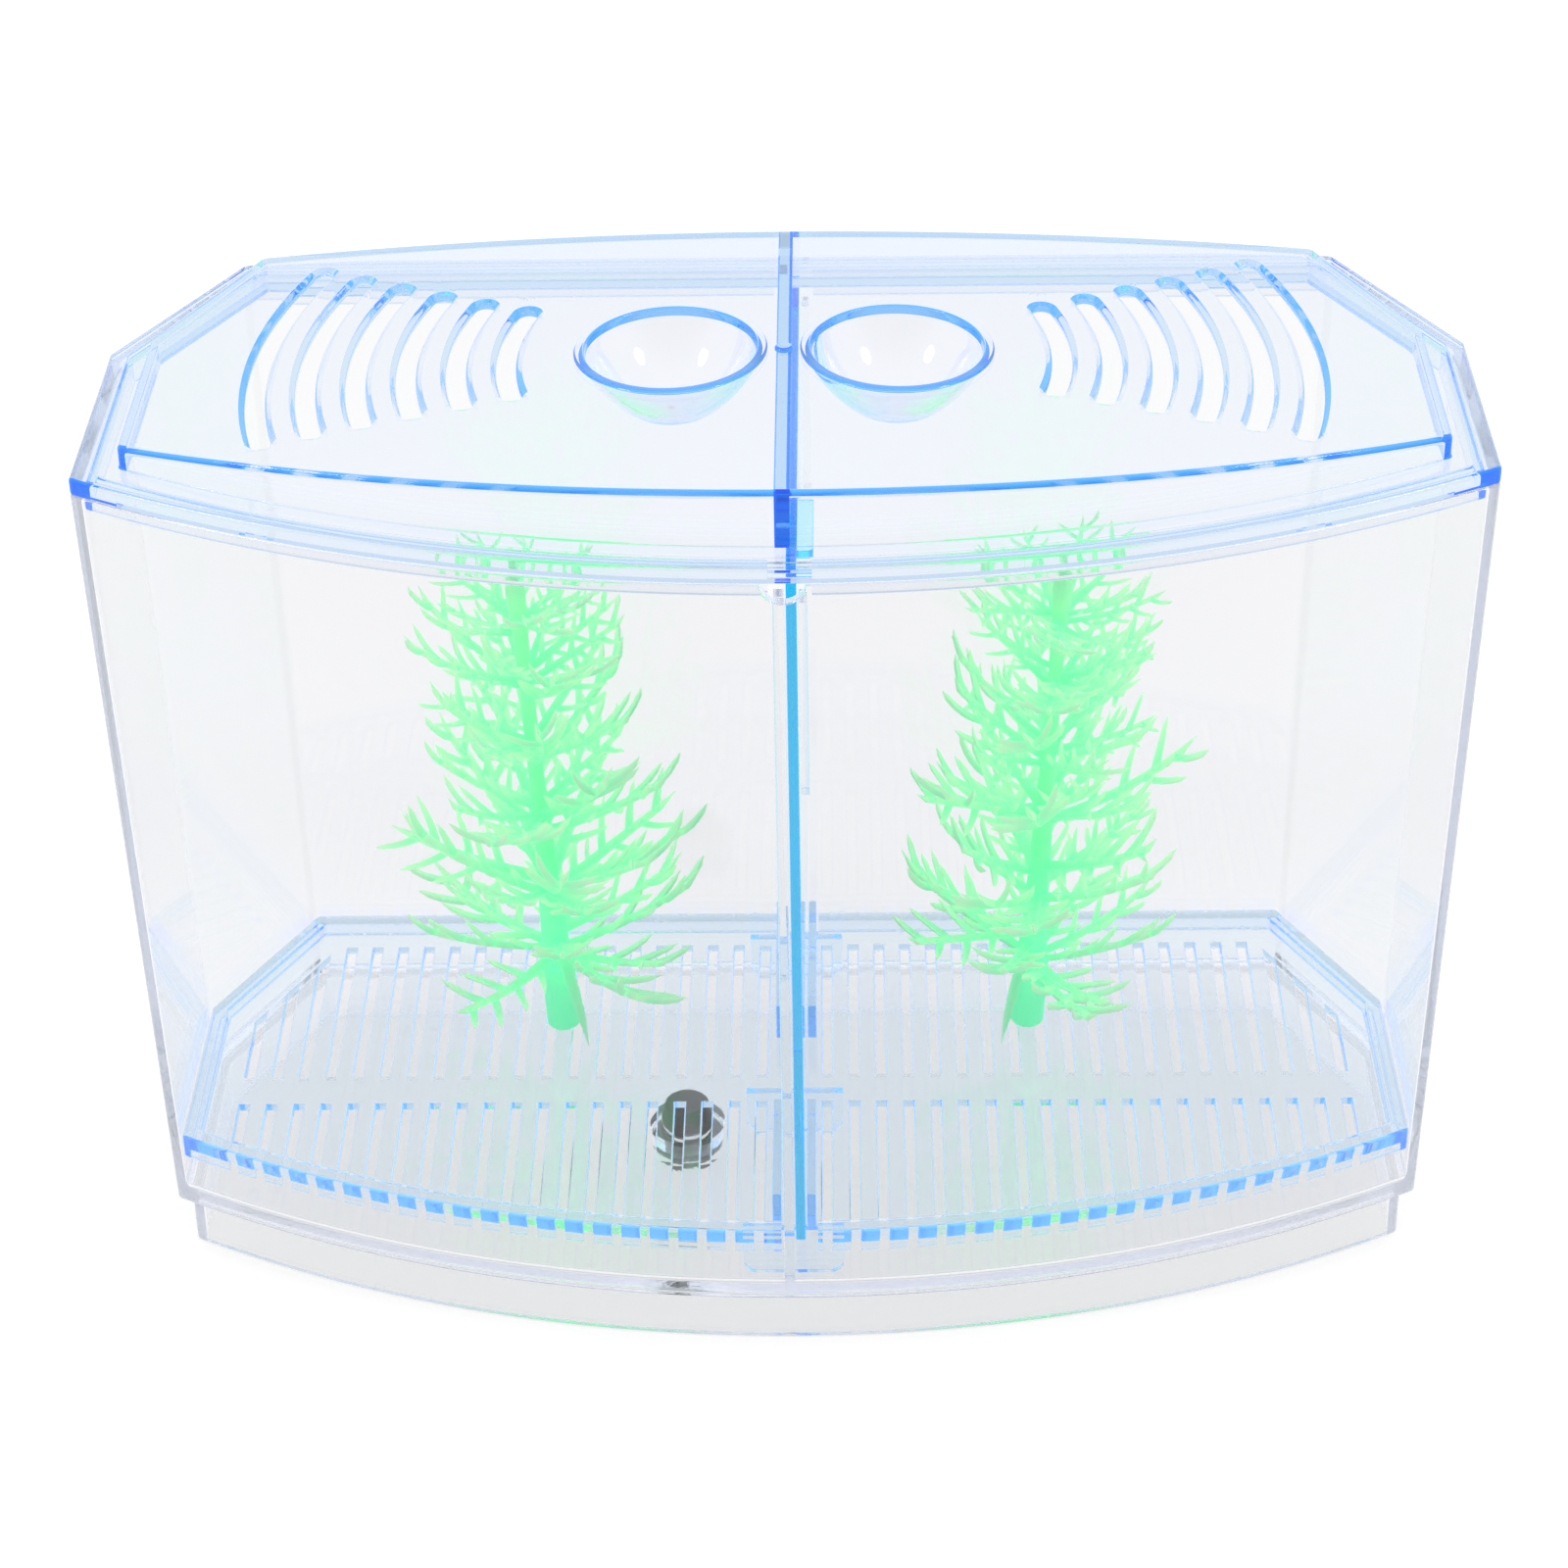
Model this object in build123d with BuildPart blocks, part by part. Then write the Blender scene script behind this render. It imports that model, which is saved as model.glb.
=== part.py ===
"""Desktop aquarium: bow-fronted clear tank, blue-tinted lid with feeding bowls, slotted floor tray, divider,
drain plug and two plastic plants.

Millimetres. +Z is up, +X is to the right and -Y is the bowed front. The origin is on the surface that the tank
stands on, under the middle of the tank's plan.
"""

import os
from math import atan, cos, degrees, radians, sin

from build123d import *

os.makedirs("parts", exist_ok=True)

# Tank plan at the rim
tank_width = 190.0
tank_depth = 88.6
bow_depth = 24.9
side_length = 35.9
side_taper = 0.4
back_width = 158.0

# Tank heights and walls
rim_height = 130.2
base_height = 8.8
draft_inset = 2.7
wall = 1.8
floor_top = 10.2
floor_thickness = 2.0
base_skirt_inset = 1.9
floor_chamfer = 1.2

# Finger notch in the front rim
notch_radius = 3.0

# Guides for the divider inside the front and back walls
guide_rib_width = 1.5
guide_reach = 3.0
guide_drop = 3.4
lip_width = 1.2
lip_length = 30.0

# Drain: sump in the floor, neck below it, and the plug in the neck
drain_x = -16.5
drain_y = 0.0
sump_radius = 11.9
sump_depth = 0.9
drain_bore_radius = 3.95
drain_neck_wall = 1.9
drain_neck_height = 5.4
plug_clearance = 0.08
plug_nose_rise = 2.4
plug_nose_radius = 3.3
plug_flange_radius = 5.7
plug_flange_thickness = 1.5
plug_flange_gap = 0.3
plug_grip_radius = 3.4
plug_grip_height = 1.1

# Lid
lid_rim_width = 2.8
lid_rim_height = 2.5
lid_rim_chamfer = 0.4
lid_corner_radius = 1.0
ledge_bottom = 0.7
ledge_thickness = 1.3
hood_inset = 6.2
hood_wall = 1.2
hood_side_height = 3.3
hood_crown_height = 8.2
roof_thickness = 1.3
inner_lip_clearance = 0.35
inner_lip_wall = 1.2
inner_lip_drop = 2.6
inner_lip_gap = 0.6
roof_rib_width = 2.0
gate_radius = 0.9
gate_rise = 0.6
gate_sides = 8

# Vents in the roof, arcs about one centre on each side
vent_count = 6
vent_centre_x = 2.7
vent_centre_y = 1.2
vent_first_radius = 40.4
vent_pitch = 6.8
vent_width = 3.0
vent_end_chamfer = 0.9
vent_front_angle = 15.3
vent_back_angle = 18.7
vent_back_angle_step = 0.92

# Feeding bowls in the roof
bowl_x = 15.4
bowl_y = 1.9
bowl_radius = 13.0
bowl_depth = 10.8
bowl_floor_radius = 4.0
bowl_side_slope = 0.35
bowl_wall = 1.2

# Floor tray
tray_clearance = 0.35
tray_plate_top = 18.8
tray_plate_thickness = 1.2
tray_rim_width = 2.6
tray_rim_rise = 1.7
tray_skirt_drop = 1.0
tray_skirt_wall = 1.3
slot_count = 20
slot_first_x = 4.9
slot_pitch = 4.08
slot_width = 1.4
slot_bar_front = -7.1
slot_bar_back = -0.6
slot_back_margin = 4.0
foot_width = 14.5
foot_thickness = 1.3
foot_rounding = 2.0
channel_rib_width = 1.3
channel_rib_height = 6.0
channel_front_length = 22.4
channel_back_length = 28.0

# Divider
divider_x = 1.1
divider_thickness = 1.4
divider_side_clearance = 0.2
divider_edge_clearance = 0.4
divider_top_gap = 0.6
divider_flange_reach = 2.2
divider_flange_thickness = 1.6
divider_flange_length = 16.8
divider_flange_setback = 6.5

# Plants: two prongs of the base stand in the slots on either side of it
plant_slots_from_middle = 8
plant_y = 12.8
plant_lean = 2.8
plant_base_radius = 2.6
plant_base_height = 12.0
prong_length = 3.2
prong_depth = 2.6
prong_clearance = 0.3
stem_radius = 0.8
stem_socket_depth = 6.0
whorl_count = 6
whorl_pitch = 11.7
whorl_seat_gap = 0.05
whorl_branch_height = 3.4
first_sleeve_radius = 2.4
last_sleeve_radius = 1.4
branch_count = 6
sleeve_sides = 6
first_branch_reach = 25.5
last_branch_reach = 12.0
first_branch_rise = 12.0
last_branch_rise = 55.0
branch_turn = 30.0
branch_thickness = 0.8
branch_spine_width = 1.5
leaflet_reach = 4.2

# Values that follow from the sizes above
half_width = tank_width / 2
front_y = -tank_depth / 2
back_y = tank_depth / 2
front_corner_y = front_y + bow_depth
side_corner_y = front_corner_y + side_length
draft_angle = degrees(atan(draft_inset / (rim_height - base_height)))
ledge_top = rim_height + ledge_bottom + ledge_thickness
divider_left = divider_x - divider_thickness / 2
divider_right = divider_x + divider_thickness / 2
guide_right = divider_left - divider_side_clearance
guide_left = guide_right - guide_rib_width
lip_left = divider_right + divider_side_clearance
lip_right = lip_left + lip_width


def wall_inset(height):
    """How far the drafted outer wall lies inside the rim's outline at a height."""
    return draft_inset * (rim_height - height) / (rim_height - base_height)


def inner_front_y(height):
    """Inner face of the front wall, in the middle of the bow."""
    return front_y + wall_inset(height) + wall


def inner_back_y(height):
    """Inner face of the back wall."""
    return back_y - wall_inset(height) - wall


def plan(inset, corner_radius=0):
    """The rim's outline, moved inwards: bowed front, straight sides, chamfered back corners, straight back."""
    with BuildSketch(mode=Mode.PRIVATE) as outline:
        with BuildLine():
            Polyline(
                (half_width, front_corner_y),
                (half_width - side_taper, side_corner_y),
                (back_width / 2, back_y),
                (-back_width / 2, back_y),
                (-half_width + side_taper, side_corner_y),
                (-half_width, front_corner_y),
            )
            ThreePointArc((-half_width, front_corner_y), (0, front_y), (half_width, front_corner_y))
        make_face()
        if inset > 0:
            offset(amount=-inset, kind=Kind.INTERSECTION)
        if corner_radius > 0:
            fillet(outline.vertices(), corner_radius)
    return outline.sketch


# Room inside the tank, with bevelled corners at the floor
with BuildPart() as tank_room:
    with BuildSketch(Plane.XY.offset(floor_top)):
        add(plan(wall_inset(floor_top) + wall))
    extrude(amount=rim_height - floor_top, taper=-draft_angle)
    chamfer(tank_room.faces().sort_by(Axis.Z)[0].edges(), floor_chamfer)

# Tank shell with its base skirt, divider guides, finger notch and drain
with BuildPart() as tank:
    with BuildSketch(Plane.XY.offset(base_height)):
        add(plan(draft_inset))
    extrude(amount=rim_height - base_height, taper=-draft_angle)
    with BuildSketch():
        add(plan(draft_inset + base_skirt_inset))
    extrude(amount=base_height)
    add(tank_room.part, mode=Mode.SUBTRACT)
    with BuildSketch():
        add(plan(draft_inset + base_skirt_inset + wall))
    extrude(amount=floor_top - floor_thickness, mode=Mode.SUBTRACT)
    # Full-height guide ribs to the left of the divider, short lips to its right
    guide_top = rim_height - guide_drop
    for left, width, bottom in (
        (guide_left, guide_rib_width, floor_top - floor_thickness / 2),
        (lip_left, lip_width, guide_top - lip_length),
    ):
        with BuildSketch(Plane.YZ.offset(left)):
            for inner_y, inwards in ((inner_front_y, 1), (inner_back_y, -1)):
                with BuildLine():
                    Polyline(
                        (inner_y(guide_top) - inwards * wall / 2, guide_top),
                        (inner_y(guide_top) + inwards * guide_reach, guide_top),
                        (inner_y(bottom) + inwards * guide_reach, bottom),
                        (inner_y(bottom) - inwards * wall / 2, bottom),
                        close=True,
                    )
                make_face()
        extrude(amount=width)
    # Half-round finger notch in the front rim
    with BuildSketch(Plane.XZ.offset(-front_y - 2 * wall)):
        with Locations((0, rim_height)):
            Circle(notch_radius)
    extrude(amount=4 * wall, mode=Mode.SUBTRACT)
    # Neck below the floor, conical sump above it and the bore through both
    with BuildSketch(Plane.XY.offset(floor_top - floor_thickness / 2)):
        with Locations((drain_x, drain_y)):
            Circle(drain_bore_radius + drain_neck_wall)
    extrude(amount=-(drain_neck_height - floor_thickness / 2))
    with Locations((drain_x, drain_y, floor_top - sump_depth / 2)):
        Cone(drain_bore_radius, sump_radius, sump_depth, mode=Mode.SUBTRACT)
    with BuildSketch(Plane.XY.offset(floor_top)):
        with Locations((drain_x, drain_y)):
            Circle(drain_bore_radius)
    extrude(amount=-floor_top, mode=Mode.SUBTRACT)
tank.part.label = "tank"
export_step(tank.part, "parts/tank.step")

# Drain plug: tapered nose in the bore, flange under the neck and a grip below it
neck_bottom = floor_top - drain_neck_height
plug_radius = drain_bore_radius - plug_clearance
plug_flange_top = neck_bottom - plug_flange_gap
plug_flange_bottom = plug_flange_top - plug_flange_thickness
plug_top = floor_top + plug_nose_rise
with BuildPart() as drain_plug:
    with BuildSketch(Plane.XZ.offset(-drain_y)):
        with BuildLine():
            Polyline(
                (drain_x, plug_top),
                (drain_x + plug_nose_radius, plug_top),
                (drain_x + plug_radius, floor_top),
                (drain_x + plug_radius, plug_flange_top),
                (drain_x + plug_flange_radius, plug_flange_top),
                (drain_x + plug_flange_radius, plug_flange_bottom),
                (drain_x + plug_grip_radius, plug_flange_bottom),
                (drain_x + plug_grip_radius, plug_flange_bottom - plug_grip_height),
                (drain_x, plug_flange_bottom - plug_grip_height),
                close=True,
            )
        make_face()
    revolve(axis=Axis((drain_x, drain_y, 0), (0, 0, 1)))
drain_plug.part.label = "drain_plug"
export_step(drain_plug.part, "parts/drain_plug.step")


def under_arch(bottom, drop):
    """Solid from a height up to the roof's arch, which may be lowered by the roof's thickness."""
    half_span = half_width - hood_inset
    shoulder = ledge_top + hood_side_height - drop
    crown = ledge_top + hood_crown_height - drop
    with BuildPart(mode=Mode.PRIVATE) as arched:
        with BuildSketch(Plane.XZ):
            with BuildLine():
                ThreePointArc((-half_span, shoulder), (0, crown), (half_span, shoulder))
                Polyline((half_span, shoulder), (half_span, bottom), (-half_span, bottom), (-half_span, shoulder))
            make_face()
        extrude(amount=tank_depth, both=True)
    return arched.part


# Outer form of the raised hood, and the room under its roof
with BuildPart() as hood_outside:
    with BuildSketch(Plane.XY.offset(ledge_top)):
        add(plan(hood_inset, lid_corner_radius))
    extrude(amount=hood_crown_height + roof_thickness)
    add(under_arch(ledge_top, 0), mode=Mode.INTERSECT)
with BuildPart() as hood_room:
    with BuildSketch(Plane.XY.offset(rim_height + ledge_bottom)):
        add(plan(hood_inset + hood_wall))
    extrude(amount=hood_crown_height + roof_thickness)
    add(under_arch(rim_height + ledge_bottom, roof_thickness), mode=Mode.INTERSECT)

# Middle rib that fills the room under the roof
with BuildPart() as roof_rib:
    with BuildSketch(Plane.XY.offset(rim_height + ledge_bottom)):
        Rectangle(roof_rib_width, 2 * tank_depth)
    extrude(amount=hood_crown_height + roof_thickness)
    add(hood_room.part, mode=Mode.INTERSECT)


def bowl_form(centre_x, margin):
    """Round bowl with its mouth above the roof, smaller by a margin all round."""
    mouth = ledge_top + hood_crown_height
    bottom = mouth - bowl_depth + margin
    side_x = centre_x + bowl_radius - margin
    floor_x = centre_x + bowl_floor_radius
    with BuildPart(mode=Mode.PRIVATE) as bowl:
        with BuildSketch(Plane.XZ.offset(-bowl_y)):
            with BuildLine():
                TangentArc((side_x, mouth), (floor_x, bottom), tangent=(-bowl_side_slope, -1))
                Polyline(
                    (floor_x, bottom),
                    (centre_x, bottom),
                    (centre_x, mouth + roof_thickness),
                    (side_x, mouth + roof_thickness),
                    (side_x, mouth),
                )
            make_face()
        revolve(axis=Axis((centre_x, bowl_y, 0), (0, 0, 1)))
    return bowl.part


def vent_form(radius, start_angle, sweep):
    """Curved vent about the origin, with bevelled ends that reach half a vent's width past its sweep."""
    end_angle = degrees(vent_width / 2 / radius)
    with BuildSketch(mode=Mode.PRIVATE) as vent:
        with BuildLine():
            outer = CenterArc((0, 0), radius + vent_width / 2, start_angle - end_angle, sweep + 2 * end_angle)
            inner = CenterArc((0, 0), radius - vent_width / 2, start_angle - end_angle, sweep + 2 * end_angle)
            Line(outer @ 0, inner @ 0)
            Line(outer @ 1, inner @ 1)
        make_face()
        chamfer(vent.vertices(), vent_end_chamfer)
    return vent.sketch


# Lid: rim, ledge, inner lip, hood with its rib, vents, bowls and the moulding gate
with BuildPart() as lid:
    with BuildSketch(Plane.XY.offset(rim_height)):
        add(plan(0, lid_corner_radius))
    extrude(amount=lid_rim_height)
    chamfer(lid.faces().sort_by(Axis.Z)[-1].edges(), lid_rim_chamfer)
    with BuildSketch(Plane.XY.offset(ledge_top)):
        add(plan(lid_rim_width))
    extrude(amount=lid_rim_height, mode=Mode.SUBTRACT)
    with BuildSketch(Plane.XY.offset(rim_height)):
        add(plan(lid_rim_width))
    extrude(amount=ledge_bottom, mode=Mode.SUBTRACT)
    add(hood_outside.part)
    add(hood_room.part, mode=Mode.SUBTRACT)
    # Inner lip that drops inside the tank's wall, open where the divider and its guides stand
    with BuildSketch(Plane.XY.offset(rim_height + ledge_bottom)):
        add(plan(wall + inner_lip_clearance))
        add(plan(wall + inner_lip_clearance + inner_lip_wall), mode=Mode.SUBTRACT)
        with Locations(((guide_left + lip_right) / 2, 0)):
            Rectangle(lip_right - guide_left + 2 * inner_lip_gap, 2 * tank_depth, mode=Mode.SUBTRACT)
    extrude(amount=-(ledge_bottom + inner_lip_drop))
    add(roof_rib.part)
    # Feeding bowls
    for centre_x in (-bowl_x, bowl_x):
        add(bowl_form(centre_x, 0) & under_arch(base_height, 0))
        add(bowl_form(centre_x, bowl_wall), mode=Mode.SUBTRACT)
    # Vents, one set on each side
    for side in (-1, 1):
        with BuildSketch(Plane.XY.offset(ledge_top)):
            for index in range(vent_count):
                sweep_back = vent_back_angle + index * vent_back_angle_step
                if side < 0:
                    start_angle = 180 - sweep_back
                else:
                    start_angle = -vent_front_angle
                with Locations((-side * vent_centre_x, vent_centre_y)):
                    add(vent_form(vent_first_radius + index * vent_pitch, start_angle, sweep_back + vent_front_angle))
        extrude(amount=hood_crown_height + roof_thickness, mode=Mode.SUBTRACT)
    with BuildSketch(Plane.XY.offset(ledge_top + hood_crown_height + gate_rise)):
        with Locations((0, vent_centre_y)):
            RegularPolygon(gate_radius, gate_sides)
    extrude(amount=-(gate_rise + roof_thickness / 2))
lid.part.label = "lid"
export_step(lid.part, "parts/lid.step")

# Floor tray: slotted plate with a raised rim, a notched skirt, three feet and ribs that hold the divider
tray_skirt_bottom = tray_plate_top - tray_plate_thickness - tray_skirt_drop
tray_inset = wall_inset(tray_skirt_bottom) + wall + tray_clearance
tray_rim_top = tray_plate_top + tray_rim_rise
tray_height = tray_rim_top - tray_skirt_bottom
notch_front = inner_front_y(tray_skirt_bottom) + guide_reach + tray_clearance
notch_back = inner_back_y(tray_skirt_bottom) - guide_reach - tray_clearance
channel_left = guide_left - tray_clearance
channel_right = lip_left
notch_right = lip_right + tray_clearance
with BuildPart() as floor_tray:
    with BuildSketch(Plane.XY.offset(tray_skirt_bottom)):
        add(plan(tray_inset))
    extrude(amount=tray_height)
    with BuildSketch(Plane.XY.offset(tray_plate_top)):
        add(plan(tray_inset + tray_rim_width))
    extrude(amount=tray_rim_rise, mode=Mode.SUBTRACT)
    with BuildSketch(Plane.XY.offset(tray_skirt_bottom)):
        add(plan(tray_inset + tray_skirt_wall))
    extrude(amount=tray_skirt_drop, mode=Mode.SUBTRACT)
    # Front slots run out through the skirt, under the rim
    with BuildSketch(Plane.XY.offset(tray_skirt_bottom)):
        for index in range(slot_count):
            slot_x = slot_first_x + index * slot_pitch
            with Locations((-slot_x, (front_y + slot_bar_front) / 2), (slot_x, (front_y + slot_bar_front) / 2)):
                Rectangle(slot_width, slot_bar_front - front_y)
    extrude(amount=tray_plate_top - tray_skirt_bottom, mode=Mode.SUBTRACT)
    # Back slots stop at a margin, which the chamfered corners shorten
    with BuildSketch(Plane.XY.offset(tray_skirt_bottom)):
        for index in range(slot_count):
            slot_x = slot_first_x + index * slot_pitch
            with Locations((-slot_x, (back_y + slot_bar_back) / 2), (slot_x, (back_y + slot_bar_back) / 2)):
                Rectangle(slot_width, back_y - slot_bar_back)
        add(plan(tray_inset + tray_rim_width + slot_back_margin), mode=Mode.INTERSECT)
    extrude(amount=tray_plate_top - tray_skirt_bottom, mode=Mode.SUBTRACT)
    # Ribs on both sides of the divider and its guides
    with BuildSketch(Plane.XY.offset(tray_plate_top)):
        for rib_x in (channel_left - channel_rib_width / 2, channel_right + channel_rib_width / 2):
            with Locations((rib_x, notch_front + channel_front_length / 2)):
                Rectangle(channel_rib_width, channel_front_length)
            with Locations((rib_x, notch_back - channel_back_length / 2)):
                Rectangle(channel_rib_width, channel_back_length)
    extrude(amount=channel_rib_height)
    # Notches that clear the tank's guides and lips while the tray is lifted out
    with BuildSketch(Plane.XY.offset(tray_skirt_bottom)):
        for near_y, far_y in ((front_y, notch_front), (notch_back, back_y)):
            with Locations(((channel_left + notch_right) / 2, (near_y + far_y) / 2)):
                Rectangle(notch_right - channel_left, far_y - near_y)
    extrude(amount=tray_height, mode=Mode.SUBTRACT)
    # Feet down to the tank's floor
    foot_middle = (slot_bar_front + slot_bar_back) / 2
    for foot_y in (notch_front + foot_thickness / 2, foot_middle, notch_back - foot_thickness / 2):
        foot_height = tray_plate_top - tray_plate_thickness - floor_top
        with BuildSketch(Plane.XZ.offset(-foot_y)) as foot:
            with Locations((0, floor_top + foot_height / 2)):
                Rectangle(foot_width, foot_height)
            fillet(foot.vertices().group_by(Axis.Z)[0], foot_rounding)
        extrude(amount=foot_thickness / 2, both=True)
floor_tray.part.label = "floor_tray"
export_step(floor_tray.part, "parts/floor_tray.step")

# Divider: sheet that follows the drafted walls, with a finger flange at its top edge
divider_top = rim_height - divider_top_gap
with BuildPart() as divider:
    with BuildSketch(Plane.YZ.offset(divider_left)):
        with BuildLine():
            Polyline(
                (inner_front_y(divider_top) + divider_edge_clearance, divider_top),
                (inner_front_y(tray_plate_top) + divider_edge_clearance, tray_plate_top),
                (inner_back_y(tray_plate_top) - divider_edge_clearance, tray_plate_top),
                (inner_back_y(divider_top) - divider_edge_clearance, divider_top),
                close=True,
            )
        make_face()
    extrude(amount=divider_thickness)
    with BuildSketch(Plane.XY.offset(divider_top)):
        with Locations((divider_right, inner_front_y(divider_top) + divider_flange_setback)):
            Rectangle(divider_flange_reach, divider_flange_length, align=(Align.MIN, Align.MIN))
    extrude(amount=-divider_flange_thickness)
divider.part.label = "divider"
export_step(divider.part, "parts/divider.step")

# Plants: each stands half-way between two slots and leans a little outwards
plant_x = slot_first_x + slot_pitch * (plant_slots_from_middle - 0.5)


def blend(first, last, index):
    """Value for one whorl between the first and the last."""
    return first + (last - first) * index / (whorl_count - 1)


def leaning_plane(distance):
    """Plane square to the leaning stem, at a distance along it from the tray's plate."""
    lean = radians(plant_lean)
    along = Vector(-sin(lean), 0, cos(lean))
    return Plane(
        origin=Vector(-plant_x, plant_y, tray_plate_top) + along * distance,
        x_dir=Vector(cos(lean), 0, sin(lean)),
        z_dir=along,
    )


def branch_form(reach, rise):
    """Forked twig from the origin outwards along +X, rising by an angle."""
    half_spine = branch_spine_width / 2
    twig_plane = Plane(
        origin=(0, 0, 0),
        x_dir=(cos(radians(rise)), 0, sin(radians(rise))),
        z_dir=(-sin(radians(rise)), 0, cos(radians(rise))),
    )
    with BuildPart(mode=Mode.PRIVATE) as twig:
        with BuildSketch(twig_plane):
            with BuildLine():
                Polyline(
                    (0, -half_spine),
                    (0.42 * reach, -half_spine),
                    (0.70 * reach, -half_spine - leaflet_reach),
                    (0.62 * reach, -0.6 * half_spine),
                    (reach, 0),
                    (0.45 * reach, half_spine),
                    (0, half_spine),
                    close=True,
                )
            make_face()
        extrude(amount=branch_thickness / 2, both=True)
    return twig.part


def export_plant_piece(piece, name):
    """Write a piece of the left plant, and its mirror image for the right plant."""
    for side_name in ("left", "right"):
        if side_name == "right":
            piece = mirror(piece, about=Plane.YZ)
        node = f"plant_{side_name}_{name}"
        piece.label = node
        export_step(piece, f"parts/{node}.step")


# Base peg with two prongs in the slots beside it, and a socket for the stem
with BuildPart() as plant_base:
    with BuildSketch(leaning_plane(-stem_radius)):
        Circle(plant_base_radius)
    extrude(amount=plant_base_height + stem_radius)
    with BuildSketch(Plane.XY.offset(tray_plate_top)):
        with Locations((-plant_x, plant_y)):
            Rectangle(4 * plant_base_radius, 4 * plant_base_radius)
    extrude(amount=-2 * plant_base_radius, mode=Mode.SUBTRACT)
    with BuildSketch(Plane.XY.offset(tray_plate_top)):
        with Locations((-plant_x - slot_pitch / 2, plant_y), (-plant_x + slot_pitch / 2, plant_y)):
            Rectangle(slot_width - 2 * prong_clearance, prong_length)
    extrude(amount=-prong_depth)
    with BuildSketch(leaning_plane(plant_base_height)):
        RegularPolygon(stem_radius, sleeve_sides)
    extrude(amount=-stem_socket_depth, mode=Mode.SUBTRACT)
export_plant_piece(plant_base.part, "base")

# Stem rod inside the whorls' sleeves
with BuildPart() as plant_stem:
    with BuildSketch(leaning_plane(plant_base_height - stem_socket_depth)):
        RegularPolygon(stem_radius, sleeve_sides)
    extrude(amount=whorl_seat_gap + whorl_count * whorl_pitch + stem_socket_depth)
export_plant_piece(plant_stem.part, "stem")

# Whorls: a tapered sleeve on the stem with forked branches around its foot
for index in range(whorl_count):
    foot = plant_base_height + whorl_seat_gap + index * whorl_pitch
    branch = branch_form(
        blend(first_branch_reach, last_branch_reach, index),
        blend(first_branch_rise, last_branch_rise, index),
    )
    with BuildPart() as whorl:
        with BuildSketch(leaning_plane(foot)):
            RegularPolygon(blend(first_sleeve_radius, last_sleeve_radius, index), sleeve_sides)
        with BuildSketch(leaning_plane(foot + whorl_pitch - whorl_seat_gap)):
            RegularPolygon(blend(first_sleeve_radius, last_sleeve_radius, index + 1), sleeve_sides)
        loft(ruled=True)
        with Locations(leaning_plane(foot + whorl_branch_height)):
            with PolarLocations(0, branch_count, start_angle=index * branch_turn):
                add(branch)
        with BuildSketch(leaning_plane(foot)):
            RegularPolygon(stem_radius, sleeve_sides)
        extrude(amount=whorl_pitch, mode=Mode.SUBTRACT)
    export_plant_piece(whorl.part, f"whorl_{index + 1}")
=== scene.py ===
"""Looks of the desktop aquarium: clear tank, blue lid, slotted tray, divider, drain plug and two plants."""

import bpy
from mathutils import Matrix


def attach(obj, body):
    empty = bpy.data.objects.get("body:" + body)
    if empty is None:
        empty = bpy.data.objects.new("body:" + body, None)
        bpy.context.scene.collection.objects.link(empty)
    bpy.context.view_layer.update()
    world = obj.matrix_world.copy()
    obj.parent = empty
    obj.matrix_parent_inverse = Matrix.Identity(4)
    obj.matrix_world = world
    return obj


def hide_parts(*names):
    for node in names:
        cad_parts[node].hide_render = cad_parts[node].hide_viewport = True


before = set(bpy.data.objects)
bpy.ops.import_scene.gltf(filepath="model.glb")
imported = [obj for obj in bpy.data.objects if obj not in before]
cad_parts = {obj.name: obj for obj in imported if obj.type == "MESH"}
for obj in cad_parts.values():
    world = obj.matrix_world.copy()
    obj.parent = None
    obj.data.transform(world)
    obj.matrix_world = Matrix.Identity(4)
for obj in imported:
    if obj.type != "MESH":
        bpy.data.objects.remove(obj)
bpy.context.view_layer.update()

from contextlib import contextmanager
from math import acos, atan2, cos, pi, radians, sin, sqrt

import bmesh
import bpy
from mathutils import Matrix, Vector
from mathutils.geometry import delaunay_2d_cdt

# Sizes in millimetres, as in the part's source where it has them
half_width = 95.0
front_y = -44.3
back_y = 44.3
bow_depth = 24.9
side_length = 35.9
side_taper = 0.4
back_half_width = 79.0
bow_radius = (half_width**2 + bow_depth**2) / (2 * bow_depth)

rim_height = 130.2
base_height = 8.8
draft_inset = 2.7
wall = 1.8
floor_top = 10.2
floor_thickness = 2.0
base_skirt_inset = 1.9
floor_fillet = 2.0
tank_corner = 0.8
notch_radius = 3.0

guide_left, guide_right = -1.3, 0.2
lip_left, lip_right = 2.0, 3.2
guide_reach = 3.0
guide_top = rim_height - 3.4
lip_length = 30.0

drain_x, drain_y = -16.5, 0.0
sump_radius = 11.9
sump_depth = 0.9
bore_radius = 3.95
neck_radius = 5.85
neck_height = 5.4

lid_seat_gap = 0.05
lid_rim_width = 2.8
lid_rim_top = rim_height + 2.5
ledge_bottom = rim_height + 0.7
ledge_top = ledge_bottom + 1.3
hood_inset = 6.2
hood_wall = 1.2
roof_crown = ledge_top + 8.2
roof_shoulder = ledge_top + 3.3
roof_thickness = 1.3
inner_lip_inset = 2.15
inner_lip_wall = 1.2
inner_lip_bottom = rim_height - 2.6
roof_rib_width = 2.0
nub_radius, nub_height, nub_y = 1.25, 0.58, 1.2
vent_half_width = 1.35

bowl_x, bowl_y = 15.4, 1.9
bowl_radius = 13.0
bowl_floor_radius = 4.0
bowl_depth = 10.8
bowl_side_bend = 0.35
bowl_wall = 1.2

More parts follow.
